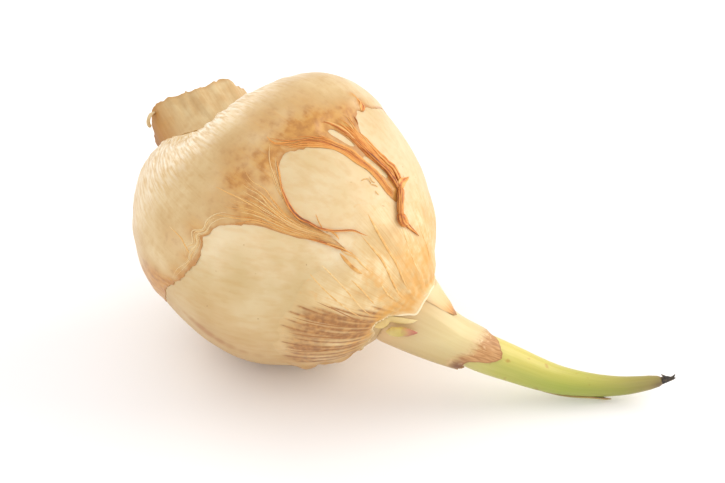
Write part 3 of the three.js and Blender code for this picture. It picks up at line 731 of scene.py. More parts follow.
# Strips of the outer scale that have rolled up on themselves: each one's name, its line, its half
# widths, half heights and lift, its rings, grooves and seed, and its tone.
ROLLED = [
    (
        "ribbon_core",
        [(2, 80), (-0.6, 74), (-1.8, 68), (-3.4, 63), (-5, 59), (-5.6, 55), (-5, 51)],
        [0.08, 0.14, 0.24, 0.28, 0.34, 0.3], [0.1, 0.2, 0.26, 0.3, 0.32, 0.3],
        [0, 0.08, 0.12, 0.15, 0.2], 70, 5, 11, [0.35, 0.5, 0.6, 0.45],
    ),
    (
        "ribbon_rolled_edge",
        [(-6, 74), (-6.2, 70), (-6.8, 65.5), (-8, 61.4), (-9.6, 58.4), (-9.4, 55), (-7.8, 51.5)],
        [0.14, 0.28, 0.38, 0.42, 0.42, 0.36], [0.1, 0.22, 0.3, 0.34, 0.36, 0.3],
        [0.05, 0.1, 0.15, 0.2, 0.25], 70, 5, 12, [0.2, 0.3, 0.3, 0.35],
    ),
    (
        "ribbon_tooth", [(-6.5, 51.4), (-9, 52.4), (-12, 52.7), (-15.4, 53)],
        [0.7, 0.62, 0.4, 0.05], [0.16, 0.16, 0.12, 0.05], [0.4, 0.45, 0.55, 0.65], 36, 3, 13,
        [0.35, 0.3, 0.4],
    ),
    (
        "ribbon_stick", [(-6.4, 52), (-4.4, 49.9), (-1.8, 47.5), (1.2, 45.2), (3.4, 43.2)],
        [0.4, 0.55, 0.54, 0.5, 0.5], [0.3, 0.4, 0.4, 0.38, 0.36], [0.55, 0.5, 0.5, 0.55, 0.6], 70,
        9, 14, [0.35, 0.48, 0.42, 0.35],
    ),
    (
        "ribbon_knot", [(2.4, 44.6), (3.2, 43), (3, 41.4), (0.6, 40)], [0.5, 0.78, 0.76, 0.4],
        [0.4, 0.5, 0.48, 0.3], [0.62, 0.64, 0.62, 0.55], 60, 9, 15, [0.5, 0.4, 0.3],
    ),
    (
        "ribbon_tail", [(2.4, 41.2), (1.2, 39), (-1.2, 36.6), (-4.8, 33.2)],
        [0.36, 0.3, 0.24, 0.07], [0.2, 0.2, 0.16, 0.06], [0.55, 0.5, 0.5, 0.48], 40, 3, 16,
        [0.35, 0.4, 0.5],
    ),
    (
        "wiry_thread", THREAD,
        [0.06, 0.08, 0.12, 0.2, 0.26, 0.26, 0.2, 0.16, 0.16, 0.15, 0.12, 0.06],
        [0.06, 0.08, 0.12, 0.18, 0.22, 0.22, 0.18, 0.14, 0.14, 0.13, 0.12, 0.05],
        [0.05, 0.08, 0.1, 0.15, 0.18, 0.18, 0.2, 0.25, 0.4, 0.5], 130, 3, 17,
        [0.2, 0.3, 0.4, 0.6, 0.65, 0.55, 0.45, 0.4, 0.4],
    ),
    (
        "thread_fork", [(35.6, 58.4), (35, 55.8), (35.8, 53.6)], [0.08, 0.1, 0.05],
        [0.08, 0.1, 0.05], [0.15, 0.15, 0.2], 24, 0, 18, [0.4],
    ),
    (
        "thread_hair", [(33.6, 64.2), (35.2, 62), (36.4, 60)], [0.04, 0.06, 0.07],
        [0.04, 0.06, 0.07], [0.15, 0.1, 0.1], 24, 0, 19, [0.4],
    ),
    (
        "strand_tail", [(43.5, 61.5), (41, 57), (39, 52), (36.5, 47)], [0.08, 0.14, 0.12, 0.05],
        [0.08, 0.12, 0.1, 0.05], [0.1, 0.15, 0.25, 0.35], 40, 3, 24, [0.4, 0.5, 0.45],
    ),
    (
        "strand_second_tail", [(42.5, 59.5), (39.5, 54.5), (37.6, 50), (36.6, 44.5)],
        [0.06, 0.1, 0.1, 0.04], [0.06, 0.1, 0.1, 0.04], [0.1, 0.2, 0.3, 0.4], 40, 0, 25, [0.35],
    ),
    (
        "edge_fold", [(69.8, 100.8), (69.6, 97), (70.4, 93.6), (74, 88.6)], [0.06, 0.1, 0.12, 0.08],
        [0.03, 0.06, 0.08, 0.05], [-0.02], 50, 0, 28, [0, 0.3, 0.2],
    ),
    (
        "corner_flap", [(-17.2, 88), (-18, 85.6), (-17.6, 83.4), (-15.4, 81.2)],
        [0.06, 0.2, 0.5, 0.3], [0.05, 0.08, 0.12, 0.08], [0, 0.02, 0.06], 40, 3, 31,
        [0.2, 0.35, 0.3],
    ),
    (
        "corner_curl", [(-9.4, 80.6), (-9.2, 78.8), (-8.2, 76.6)], [0.05, 0.11, 0.05],
        [0.05, 0.1, 0.05], [0, 0.02, 0], 30, 3, 32, [0.7],
    ),
    (
        "arch_fibre", [(22, 93.5), (20, 89.4), (17, 85.8), (13, 82.9), (8.2, 79.4), (5.4, 74.6)],
        [0.04, 0.1, 0.12, 0.12, 0.1, 0.05], [0.03, 0.08, 0.09, 0.09, 0.08, 0.04], [0], 60, 3, 34,
        [0.3, 0.55, 0.5, 0.4],
    ),
    (
        "arch_second_fibre", [(23.6, 91.6), (21, 88), (17.8, 84.9), (14, 81.4), (9.4, 77.4)],
        [0.04, 0.09, 0.1, 0.08, 0.04], [0.03, 0.07, 0.08, 0.07, 0.03], [0], 50, 3, 35,
        [0.3, 0.5, 0.4],
    ),
    (
        "corner_crease", [(-17.5, 92.4), (-17.6, 89.4), (-17.3, 86.6), (-16.4, 83.6)],
        [0.04, 0.09, 0.1, 0.06], [0.03, 0.06, 0.06, 0.04], [-0.01], 40, 0, 36, [0.3, 0.5],
    ),
    (
        "pull_line", [(47, 96), (45.6, 89), (45, 85), (44.6, 80)], [0.05, 0.1, 0.1, 0.06],
        [0.03, 0.06, 0.06, 0.04], [-0.02], 40, 0, 29, [0.25],
    ),
    (
        "pinch_fold", [(22, 95), (22.4, 91), (20.6, 88.6), (15.8, 84.6)], [0.04, 0.12, 0.14, 0.08],
        [0.03, 0.07, 0.08, 0.05], [-0.02], 40, 0, 30, [0.4, 0.6, 0.35],
    ),
]
LOOSE_HAIRS = [
    [(9.4, 61), (7.6, 60.8), (6.2, 60), (6.6, 58)], [(6.6, 58.2), (5.2, 57.2), (4.4, 56.2)],
    [(6.8, 55.8), (7, 55), (6.4, 54)], [(4.6, 60.4), (5.2, 58.8), (4.2, 57.8)],
]
for index, line in enumerate(LOOSE_HAIRS):
    name = "loose_hair_" + "abcd"[index]
    ROLLED.append((name, line, [0.05], [0.04], [0.02, 0.1, 0.02], 24, 0, 20 + index, [0.3]))
for name, line, width, height, lift, rings, grooves, seed, tone in ROLLED:
    path = skin_path(line, lift, outer_surface)
    strands.append(sweep(name, path, width, height, rings, grooves, seed, tone, segments=24))

# The same skin where it has dried hard in strands: cream or orange where they are thin, red-brown
# where they are thick, and darker in their grooves, which is painted shade.
material, tree, skin, coords = new_material("dry_strand")
groove = node("Attribute", attribute_name="groove")
tone = node("Attribute", attribute_name="tone")
fibres = fibres_along(0.4, 1.25, scale=1.5)
mixed = node("Math", operation="MULTIPLY_ADD", _0=fibres, _1=0.5, _2=tone)
# Painted shade: darker in the grooves.
mixed = node("Math", operation="MULTIPLY_ADD", _0=groove, _1=0.5, _2=mixed)
mixed = node("MapRange", Value=mixed, From_Min=0.2, From_Max=1.5)
base = node(
    "ValToRGB", Fac=mixed,
    stops=[
        (0.02, "#edd19b"), (0.2, "#e9ba70"), (0.4, "#e6a24d"), (0.56, "#d68234"), (0.72, "#ac5c25"),
        (0.9, "#6c3a18"),
    ],
)
bumps = node("Bump", Strength=0.7, Distance=0.1 * MM, Height=fibres)
wire(skin, Base_Color=base, Normal=bumps, Roughness=0.5)
for strand in strands:
    dress(strand, material, "outer_scale_skin", "outer_scale")

# ---- Shoot ---------------------------------------------------------------------------------------
# The new leaf spike, rolled tight round itself: smooth, juicy and yellow-green, curved down to the
# surface and up again at its end.
SHOOT_PROFILE = np.array(
    [
        (22, 0), (22.2, 2.75), (27, 2.75), (30, 2.78), (33, 2.85), (36, 2.96), (39, 2.85), (42, 2.66),
        (45, 2.44), (48, 2.2), (51, 1.98), (54, 1.75), (57, 1.52), (60, 1.3), (62.5, 1.06),
        (63.8, 0.82), (64.3, 0.5), (64.4, 0),
    ]
)  # station along the spine, radius


def shoot_radius(station):
    return np.interp(station, SHOOT_PROFILE[1:-1, 0], SHOOT_PROFILE[1:-1, 1])


def turned(name, profile, segments, rings, rough=0.0, seed=0):
    """A closed body turned round the spine, from its (station, radius) profile."""
    piece = fresh(
        name, bpy.ops.mesh.primitive_uv_sphere_add, segments=segments, ring_count=rings, radius=1
    )
    angle, turn = around_axis(piece)
    lengths = np.concatenate([[0], np.linalg.norm(np.diff(profile, axis=0), axis=1).cumsum()])
    way = angle / 180 * lengths[-1]
    station, radius = (np.interp(way, lengths, column) for column in profile.T)
    spin = np.radians(turn)
    lump = rough * grain((station / 2, radius * np.cos(spin), radius * np.sin(spin)), seed=seed)
    put(piece, round_spine(station - lump, turn, radius * (1 + 0.1 * lump)) * MM)
    paint(piece, station=station)
    keep_pattern(piece, np.column_stack([turn * 0.05, way]))
    faces_outwards(piece)
    bpy.ops.object.shade_smooth()
    return piece


shoot = turned("shoot_leaf_spike", SHOOT_PROFILE, segments=72, rings=150, rough=0.06, seed=51)

# Living leaf: waxy and juicy, green, with a painted highlight that turns its upward faces yellow
# where the light falls on them, and with faint veins along it and a few reddish specks.
material, tree, skin, coords = new_material("shoot_green_leaf")
station = node("Attribute", attribute_name="station")
way = node("MapRange", Value=station, From_Min=34, From_Max=64)
green = node(
    "ValToRGB", Fac=way,
    stops=[
        (0, "#cfc47d"), (0.18, "#bab75c"), (0.5, "#a1aa46"), (0.8, "#979745"), (0.94, "#92844a"),
        (1, "#6f5a3c"),
    ],
)
lit_top_colour = node(
    "ValToRGB", Fac=way,
    stops=[(0, "#e3d27e"), (0.3, "#d9c968"), (0.6, "#bbb654"), (1, "#998a4e")],
)
# Painted light: the faces that look up are painted yellow, where the light falls on them.
place = node("SeparateXYZ", _0=coords["Normal"]).outputs["Z"]
lit_top = node("MapRange", Value=place, From_Min=0.25, From_Max=1)
base = node("MixRGB", Fac=lit_top, Color1=green, Color2=lit_top_colour)
veins = fibres_along(0.5, 12, scale=1.6, detail=3)
base = tinted(base, 0.2, veins, [(0.38, "#dde0a4"), (0.62, "#ffffff")])
specks = node("TexNoise", Vector=coords["Object"], Scale=1 / (1.6 * MM), Detail=2)
base = tinted(base, 0.5, specks, [(0.27, "#e0966c"), (0.36, "#ffffff")])
bumps = node("Bump", Strength=0.2, Distance=0.05 * MM, Height=veins)
wire(
    skin, Base_Color=base, Normal=bumps, Roughness=0.34, Subsurface_Weight=0.15,
    Subsurface_Radius=(0.8, 1, 0.3), Subsurface_Scale=1.2 * MM,
)
dress(shoot, material, "shoot_leaf", "shoot")

# ---- Shoot sheath --------------------------------------------------------------------------------
# The fleshy leaf base that the shoot has pushed through: a pale tube that flares on to the corm's
# neck and ends, on its near side, in a tongue that has dried brown.
NECK_ANGLE = 13.2
SHEATH_START = 24.8
SHEATH_FOOT = SHEATH_START - 0.5  # its edge, which bears on the corm
SHEATH_WAIST = 36
SHEATH_TAPER = 1.4
SLIM_TURN = -35  # the side on which the tube draws in sooner, how much sooner and how locally
SLIM_TAPER = 2.4
SLIM_LOCAL = 6
SHEATH_GAP = 0.1
SHEATH_RIB, TONGUE_CRISP = 0.05, 0.08  # how far its ribs and its dry wrinkles stand out
SHEATH_THICKNESS = 0.5
TONGUE_THICKNESS = 0.2
SHEATH_DEGREE = 0.078
ROUND_EDGE = (-179, -90, 0, 90, 179)  # turns along a straight edge that goes right round
SHEATH_OUTLINE = [(turn, SHEATH_FOOT) for turn in ROUND_EDGE] + [
    (179, 34.4), (150, 33.9), (122, 33.7), (104, 33.8), (90, 34), (83, 35), (75, 36.6), (66, 37.6),
    (57, 38.2), (48, 38.5), (37, 38.3), (20, 37.7), (5, 37.2), (-6, 36.4), (-16, 35.6),
    (-34, 34.9), (-60, 34.2), (-100, 33.8), (-140, 34.2), (-179, 34.4),
]
DRY_LINE = np.array(
    [
        (-180, 33.8), (-60, 34), (-17, 35), (0, 34.6), (23, 34), (51, 33.7), (65, 33.4), (74, 32.7),
        (82, 32.2), (95, 32.1), (107, 32.2), (125, 32.5), (140, 32.9), (180, 33.6),
    ]
)  # where the tube has dried brown: turn, station
NOTCH_TURN, NOTCH_SPREAD = 112, 24  # the dark notch beside the tongue


def sheath_face(turn, station):
    """The station and the radius of the tube's inner face, which stands on the round neck."""
    reach = skin_reach(NECK_ANGLE, turn) + GAP
    foot_station = reach * np.cos(np.radians(NECK_ANGLE))
    foot_radius = reach * np.sin(np.radians(NECK_ANGLE))
    left = 1 - np.clip((station - SHEATH_START) / (SHEATH_WAIST - SHEATH_START), 0, 1)
    level = station + (foot_station - SHEATH_START) * left**2
    close = shoot_radius(SHEATH_WAIST) + SHEATH_GAP
    slim = np.cos(np.radians((turn - SLIM_TURN) / 2)) ** SLIM_LOCAL
    taper = SHEATH_TAPER + SLIM_TAPER * slim
    tapered = close + (foot_radius - close) * left**taper
    return level, np.maximum(tapered, shoot_radius(level) + SHEATH_GAP)


sheath_unit = np.array([SHEATH_DEGREE, 1])
sheath, flat, depth, turn, station = cut_sheet(
    "shoot_sheath_tube", SHEATH_OUTLINE, sheath_unit, cell=0.2, fray=0.12, flip=False
)
level, radius = sheath_face(turn, station)
dried = smooth(33, 38, station)
thickness = SHEATH_THICKNESS + (TONGUE_THICKNESS - SHEATH_THICKNESS) * dried
ribs = SHEATH_RIB * grain((turn / 9, station / 14), seed=61, octaves=2)
crisp = TONGUE_CRISP * dried * grain(flat / 1.1, seed=62, octaves=2)
past = station - np.interp(turn, DRY_LINE[:, 0], DRY_LINE[:, 1])
notch = np.exp(-(((turn - NOTCH_TURN) / NOTCH_SPREAD) ** 2)) * smooth(31.8, 33.2, station)
paint(sheath, past=past, margin=depth, station=station, notch=notch)
put(sheath, round_spine(level, turn, radius + thickness + ribs + crisp) * MM)
thicken(sheath, SHEATH_THICKNESS, np.minimum(thickness / SHEATH_THICKNESS, 0.25 + depth))

# Fleshy leaf base: pale cream-green and smooth with faint ribs, dried to thin brown skin at its
# end, where the fibres show, and darker low down, where painted shade falls under it.
material, tree, skin, coords = new_material("sheath_fleshy_leaf_base")
fibres = fibres_along(0.45, 8, scale=1.2)
cloudy = node("TexNoise", Vector=coords["Object"], Scale=1 / (3 * MM), Detail=4)
station = node("Attribute", attribute_name="station")
way = node("MapRange", Value=station, From_Min=25, From_Max=34)
base = node(
    "ValToRGB", Fac=way,
    stops=[(0, "#d6b582"), (0.25, "#d4bc89"), (0.7, "#dbc993"), (1, "#e0cb96")],
)
base = tinted(base, 0.1, fibres, [(0.36, "#e9d9a8"), (0.6, "#ffffff")])
# Painted shade: the tube darkens towards the bottom, by its height over the table.
height = node("SeparateXYZ", _0=coords["Object"]).outputs["Z"]
base = tinted(
    base, 1, node("MapRange", Value=height, From_Min=4 * MM, From_Max=13 * MM),
    [(0, "#cbb9a3"), (0.5, "#e2d7c6"), (1, "#ffffff")],
)
past = node("Attribute", attribute_name="past")
flecks = node("TexNoise", Vector=coords["Object"], Scale=1 / (0.7 * MM), Detail=4)
dry_fibres = fibres_along(0.3, 2)
upwards = node("SeparateXYZ", _0=coords["Normal"]).outputs["Z"]
lit_top = node("MapRange", Value=upwards, From_Min=0.5, From_Max=1)
flecked = node("Math", operation="MULTIPLY_ADD", _0=cloudy, _1=2.2, _2=past)
flecked = node("Math", operation="MULTIPLY_ADD", _0=dry_fibres, _1=2, _2=flecked)
dried = node("MapRange", Value=flecked, From_Min=1.7, From_Max=3.3)
brown = node(
    "ValToRGB", Fac=dry_fibres,
    stops=[(0.34, "#cf9f6a"), (0.48, "#c18f5a"), (0.64, "#ad7a48")],
)
base = node("MixRGB", Fac=dried, Color1=base, Color2=brown)
# Pale flecks of peeling skin near the dry line, with more of them on the upward faces as painted
# highlight.
fleck_pattern = node("Math", operation="MULTIPLY_ADD", _0=past, _1=-0.12, _2=flecks)
fleck_pattern = node("Math", operation="MULTIPLY_ADD", _0=lit_top, _1=0.16, _2=fleck_pattern)
pale_flecks = node("MapRange", Value=fleck_pattern, From_Min=0.47, From_Max=0.58, To_Max=0.75)
pale_flecks = node("Math", operation="MULTIPLY", _0=pale_flecks, _1=dried)
base = node("MixRGB", Fac=pale_flecks, Color1=base, Color2="#ecd0a2")
notch = node("Attribute", attribute_name="notch")
dark = node("MapRange", Value=notch, From_Min=0.15, From_Max=1, To_Max=0.85)
base = node("MixRGB", Fac=dark, Color1=base, Color2="#6e4230")
margin = node("Attribute", attribute_name="margin")
base = edged(base, margin, 0.05, 0.3, 0.6, "#96653a")
bumps = node("Bump", Strength=0.2, Distance=0.06 * MM, Height=fibres)
wire(
    skin, Base_Color=base, Normal=bumps, Roughness=0.4, Subsurface_Weight=0.12,
    Subsurface_Radius=(1, 0.8, 0.4), Subsurface_Scale=MM,
)
dress(sheath, material, "sheath_leaf", "shoot_sheath")

# ---- Neck scale ----------------------------------------------------------------------------------
# A small thin leaf base that stands up behind the neck, outside the sheath, with a brown point.
NECK_SCALE_START = 24.6
NECK_SCALE_LENGTH = 5.2
NECK_SCALE_THICKNESS = 0.2
NECK_SCALE_LEAN = 0.35
NECK_SCALE_GAP = 0.03
EDGE_PRESS = 0.12  # how much closer its edges lie
NECK_WAVE = 0.1
NECK_SCALE_OUTLINE = [
    (-96, NECK_SCALE_START), (-40, NECK_SCALE_START), (22, NECK_SCALE_START), (20, 25.4), (16, 26.6),
    (13, 27.8), (8, 28.9), (0, 29.6), (-10, 29.6), (-24, 29), (-45, 28), (-70, 26.7), (-88, 25.6),
]
neck_unit = np.array([0.095, 1])
neck_scale, flat, depth, turn, station = cut_sheet(
    "neck_scale_skin", NECK_SCALE_OUTLINE, neck_unit, cell=0.15, fray=0.15, flip=False
)
level, radius = sheath_face(turn, station)
risen = np.clip((station - NECK_SCALE_START) / NECK_SCALE_LENGTH, 0, 1)
wavy = NECK_WAVE * grain(flat / 1.2, seed=71, octaves=2) * risen
lean = NECK_SCALE_LEAN * smooth(6, -24, turn) * smooth(-95, -45, turn)
clear = SHEATH_THICKNESS + NECK_SCALE_GAP - EDGE_PRESS * smooth(0.8, 0, depth)
clear = clear + lean * np.sin(np.pi * risen) ** 0.8 + NECK_SCALE_THICKNESS
paint(neck_scale, station=station, margin=depth)
put(neck_scale, round_spine(level, turn, radius + clear + wavy) * MM)
thicken(neck_scale, NECK_SCALE_THICKNESS, 0.15 + 0.85 * smooth(0, 1, depth))

# Dry leaf base: thin and yellow-tan, so that light shines through it, with a burnt-brown point.
material, tree, skin, coords = new_material("neck_scale_thin_skin")
fibres = fibres_along(0.4, 6, scale=1.2)
station = node("Attribute", attribute_name="station")
uneven = node("Math", operation="MULTIPLY_ADD", _0=fibres, _1=1.4, _2=station)
base = node(
    "ValToRGB", Fac=node("MapRange", Value=uneven, From_Min=26, From_Max=30.6),
    stops=[(0, "#e4c896"), (0.45, "#e2ba7e"), (0.7, "#d3944a"), (0.9, "#9c6430")],
)
margin = node("Attribute", attribute_name="margin")
base = edged(base, margin, 0.05, 0.35, 0.35, "#cf924a")
bumps = node("Bump", Strength=0.4, Distance=0.06 * MM, Height=fibres)
wire(
    skin, Base_Color=base, Normal=bumps, Roughness=0.42, Subsurface_Weight=0.15,
    Subsurface_Radius=(1, 0.7, 0.3), Subsurface_Scale=0.8 * MM,
)
dress(neck_scale, material, "neck_scale_skin", "neck_scale")

# ---- Inner scale ---------------------------------------------------------------------------------
# The next leaf base, over the neck half of the corm: a thinner, moister skin that clings to the
# flesh and laps on to the sheath. It is folded into fine creases, streaked brown on its near
# side, and its free margin underneath has dried and crumpled.
NEAR_NECK = 0.6  # the length of a degree round the corm there, as a share of that at the waist
INNER_RIM = [
    (-124, 21), (-112, 18), (-90, 16), (-60, 15.6), (-37, 15.8), (-13, 15.2), (1, 15), (8, 14.8),
    (17, 14.4), (27, 14), (35.5, 13.6), (45, 13.4), (50.5, 14.2), (56.5, 14.9), (62, 15.6),
    (66, 17.2), (70, 19), (76, 20.6), (83, 20.6), (88, 19), (96, 17.4), (106, 17.2), (117, 19),
    (128, 21),
]
INNER_TEAR = [
    (136, 25), (141, 30), (143, 37), (143, 44), (132, 51), (118, 53), (103, 57), (96, 55),
    (92, 58), (87, 57), (83, 59), (80, 57), (77, 58), (73, 56), (66, 57), (55, 56), (44, 52),
    (32, 52), (20, 60), (8, 54), (-8, 50), (-24, 52), (-42, 48), (-60, 54), (-76, 49),
    (-96, 53), (-114, 48), (-132, 45), (-142, 36), (-136, 27),
]
STREAKS = [
    (76.5, 54.4, 1.4), (75, 50, 2.4), (71.8, 52.4, 1.2), (71.5, 46, 2.2), (69.2, 49, 1.2),
    (66, 43, 1.4), (86.2, 54.6, 1.6), (84, 48, 2.8), (81.5, 55.5, 0.8), (80, 47, 2),
    (99, 52.2, 2.4), (93, 47, 1.6), (103, 50, 3.4), (110, 49, 2.4), (116, 51, 3.4), (123, 47, 4),
    (62, 34, 2.2), (57, 30, 2), (88, 40, 3),
]  # where each brown streak ends: turn, angle, half width in degrees
BROWNED = [
    (75, 42, 6, 10, 0.85), (84, 41, 5, 11, 0.85), (101, 43, 7, 8, 0.9), (118, 43, 10, 8, 0.8),
    (80, 41, 4, 10, 0.7), (89, 42, 5, 10, 0.8), (95, 43, 5, 9, 0.75), (106, 43, 6, 8, 0.75),
    (74, 30, 8, 9, 0.6), (88, 26, 6, 9, 0.55), (108, 31, 8, 8, 0.6),
]  # the broad brown between them: turn, angle, half width and half length in degrees, strength
PATCHES = [
    (11, 29, 2.4, 0.8), (21, 25, 1.6, 0.6), (-7, 26, 2.4, 0.9), (15, 20, 2, 0.9),
    (38, 19, 1.6, 0.6), (39, 38, 1.4, 0.5), (40, 33, 1, 0.6), (56, 20, 2, 0.8), (66, 22, 2, 0.9),
    (-20, 30, 4, 0.6), (30, 17, 1.6, 0.8), (48, 18, 1.4, 0.7), (76, 23, 2, 0.9), (2, 22, 2, 0.7),
    (88, 23, 1.4, 0.8), (-4, 15.4, 1.6, 0.8), (8, 15, 1.4, 0.9), (20, 14.4, 1.4, 0.9),
    (33, 14, 1.4, 0.9), (46, 14.2, 1.4, 0.9), (58, 15, 1.2, 0.8), (100, 26, 1.6, 0.8),
    (-40, 34, 5, 0.6), (18, 33, 1.4, 0.4), (45, 27, 1.2, 0.5),
]  # where it has turned orange: turn, angle, spread in millimetres, strength
INNER_CELL = 0.27
NECK_HALF = 22  # below this angle its edge is the rim at the neck
INNER_EDGE, INNER_LIFT = -0.04, 0.43  # how far off the skin its edge is, and how much more the rest
RIM_PRESS = 0.27  # how much closer its rim lies at the neck
PLEAT, PLEAT_DIMPLE = 0.09, 0.06  # how far its creases stand out towards the neck
MARGIN_RISE, MARGIN_CRUMPLE = 0.5, 0.45  # the same of its free margin underneath
CLINGS = 5  # this far from its tear it stands at its full height and thickness
LIP_START = 16.2  # the angle at which it leaves the corm and laps on to the sheath
LIP_SLOPE = 0.6  # millimetres along the sheath to a degree
LIP_BACK = 0.6  # how far behind the sheath's foot the lap starts
LIP_LIFT = 0.16
inner_unit = np.array([SKIN_DEGREE * NEAR_NECK, SKIN_DEGREE])
inner_ring = curve_through(
    np.array(INNER_RIM + INNER_TEAR) * inner_unit, OUTLINE_STEPS, closed=True
)
inner_tear = curve_through(np.array(INNER_TEAR) * inner_unit, OUTLINE_STEPS)


def inner_surface(turn, angle):
    """How far the inner scale's outside stands off the skin, with what its looks depend on."""
    flat = np.column_stack([turn, angle]) * inner_unit
    inside = depth_inside(flat, inner_ring)
    from_tear = np.where(inside > 0, distance_to_line(flat, inner_tear), 0)
    settled = smooth(0, CLINGS, from_tear)
    under = smooth(112, 132, turn) * smooth(16, 22, angle)
    crumple = grain((turn / 12, angle / 5), seed=31, octaves=2)
    lip = under * (1 - smooth(0, 4, from_tear)) * smooth(56, 44, angle)
    pleats = grain((turn / 3.2, angle / 20), seed=32, octaves=2)
    dimples = grain(flat / np.array([1.1, 2.2]), seed=33, octaves=2)
    near_neck = smooth(48, 20, angle)
    free = smooth(1.6, 0, inside) * smooth(15.5, 17, angle) * smooth(24, 22, angle)
    creases = near_neck * (PLEAT * pleats + PLEAT_DIMPLE * dimples)
    offset = INNER_EDGE + (INNER_LIFT - RIM_PRESS * free) * settled + creases * settled
    return offset + lip * (MARGIN_RISE + MARGIN_CRUMPLE * crumple), from_tear, lip


def inner_place(turn, angle, offset):
    """Places on the inner scale, which leaves the corm near the neck and laps on to the sheath."""
    clinging = over_corm(angle, turn, offset)
    past = (LIP_START - angle) * LIP_SLOPE - LIP_BACK
    level, radius = sheath_face(turn, SHEATH_START + past)
    lap = round_spine(level, turn, radius + SHEATH_THICKNESS + LIP_LIFT)
    return clinging + (lap - clinging) * smooth(LIP_START, LIP_START - 1.4, angle)[:, None]


inner, flat, depth, turn, angle = cut_sheet(
    "inner_scale_skin", INNER_RIM + INNER_TEAR, inner_unit, INNER_CELL, fray=0.08
)
offset, from_tear, lip = inner_surface(turn, angle)
streak = np.zeros(len(flat))
for streak_turn, streak_end, half_width in STREAKS:
    narrowed = half_width * (0.25 + 0.75 * smooth(streak_end, streak_end - 6, angle))
    beside = np.exp(-(((turn - streak_turn) / narrowed) ** 2))
    along_it = smooth(streak_end + 0.5, streak_end - 1, angle) * smooth(15, 26, angle)
    streak = np.maximum(streak, beside * along_it)
for brown_turn, brown_angle, half_turn, half_angle, strength in BROWNED:
    away = np.hypot((turn - brown_turn) / half_turn, (angle - brown_angle) / half_angle)
    streak = np.maximum(streak, strength * np.exp(-(away**4)))
patch = np.zeros(len(flat))
for patch_turn, patch_angle, spread, strength in PATCHES:
    around = (turn - patch_turn) * SKIN_DEGREE * np.sin(np.radians(angle))
    away = np.hypot(around, (angle - patch_angle) * SKIN_DEGREE)
    patch = np.maximum(patch, strength * np.exp(-((away / spread) ** 2)))
rim = np.where(angle < NECK_HALF, depth, FAR)
paint(inner, tear=from_tear, streak=streak, patch=patch, rim=rim, lip=lip)
put(inner, clear_of_table(inner_place(turn, angle, offset), SKIN_CLEARANCE) * MM)
thinner = np.minimum(0.3 + 0.7 * smooth(14, 18, angle), 0.25 + 0.75 * smooth(0, 1.6, depth))
thicken(inner, SCALE_THICKNESS, (0.1 + 0.9 * smooth(0, CLINGS, from_tear)) * thinner)

# Thin skin that still holds some water: cream where it clings, yellow-orange in patches towards
# the neck, with faint lines along it and broad brown streaks that end in points.
material, tree, skin, coords = new_material("inner_scale_clinging_skin")
# The flesh colour brings its painted shade with it, darker towards the bottom.
flesh = flesh_colour(coords["Object"])[0]
fibres = fibres_along(0.22, 6)
cloudy = node("TexNoise", Vector=coords["Object"], Scale=1 / (4 * MM), Detail=4)
mottled = node("TexNoise", Vector=coords["Object"], Scale=1 / (0.8 * MM), Detail=5)
tan = node("ValToRGB", Fac=cloudy, stops=[(0.35, "#d2b077"), (0.5, "#ddbf88"), (0.65, "#e9d3a4")])
tan = tinted(tan, 0.35, fibres, [(0.36, "#ecc68a"), (0.56, "#ffffff")])
tear = node("Attribute", attribute_name="tear")
clinging = node("MapRange", Value=tear, From_Min=0.3, From_Max=5)
base = node("MixRGB", Fac=clinging, Color1=flesh, Color2=tan)
patch = node("Attribute", attribute_name="patch")
patchy = node("Math", operation="MULTIPLY_ADD", _0=mottled, _1=1.5, _2=patch)
patchy = node("MapRange", Value=patchy, From_Min=0.85, From_Max=1.6, To_Max=0.95)
base = node("MixRGB", Fac=patchy, Color1=base, Color2="#dda658")
streak = node("Attribute", attribute_name="streak")
bands = fibres_along(0.8, 9, detail=5, roughness=0.6)
streaky = node("Math", operation="MULTIPLY_ADD", _0=bands, _1=-1.1, _2=streak)
streaky = node("Math", operation="MULTIPLY_ADD", _0=mottled, _1=-0.4, _2=streaky)
streaked = node("MapRange", Value=streaky, From_Min=-0.65, From_Max=0.15)
strength = node("Math", operation="MULTIPLY", _0=streaked, _1=streak)
brown = node("ValToRGB", Fac=mottled, stops=[(0.36, "#935f2c"), (0.5, "#a36d35"), (0.64, "#b68042")])
base = node("MixRGB", Fac=strength, Color1=base, Color2=brown)
lip = node("Attribute", attribute_name="lip")
dried = node("Math", operation="MULTIPLY", _0=lip, _1=mottled)
base = node("MixRGB", Fac=dried, Color1=base, Color2="#bb8549")
rim = node("Attribute", attribute_name="rim")
base = edged(base, rim, 0.05, 0.5, 0.6, "#efdcae")
bumps = node("Bump", Strength=0.4, Distance=0.08 * MM, Height=fibres)
wire(skin, Base_Color=base, Normal=bumps, Roughness=0.42)
dress(inner, material, "inner_scale_skin", "inner_scale")

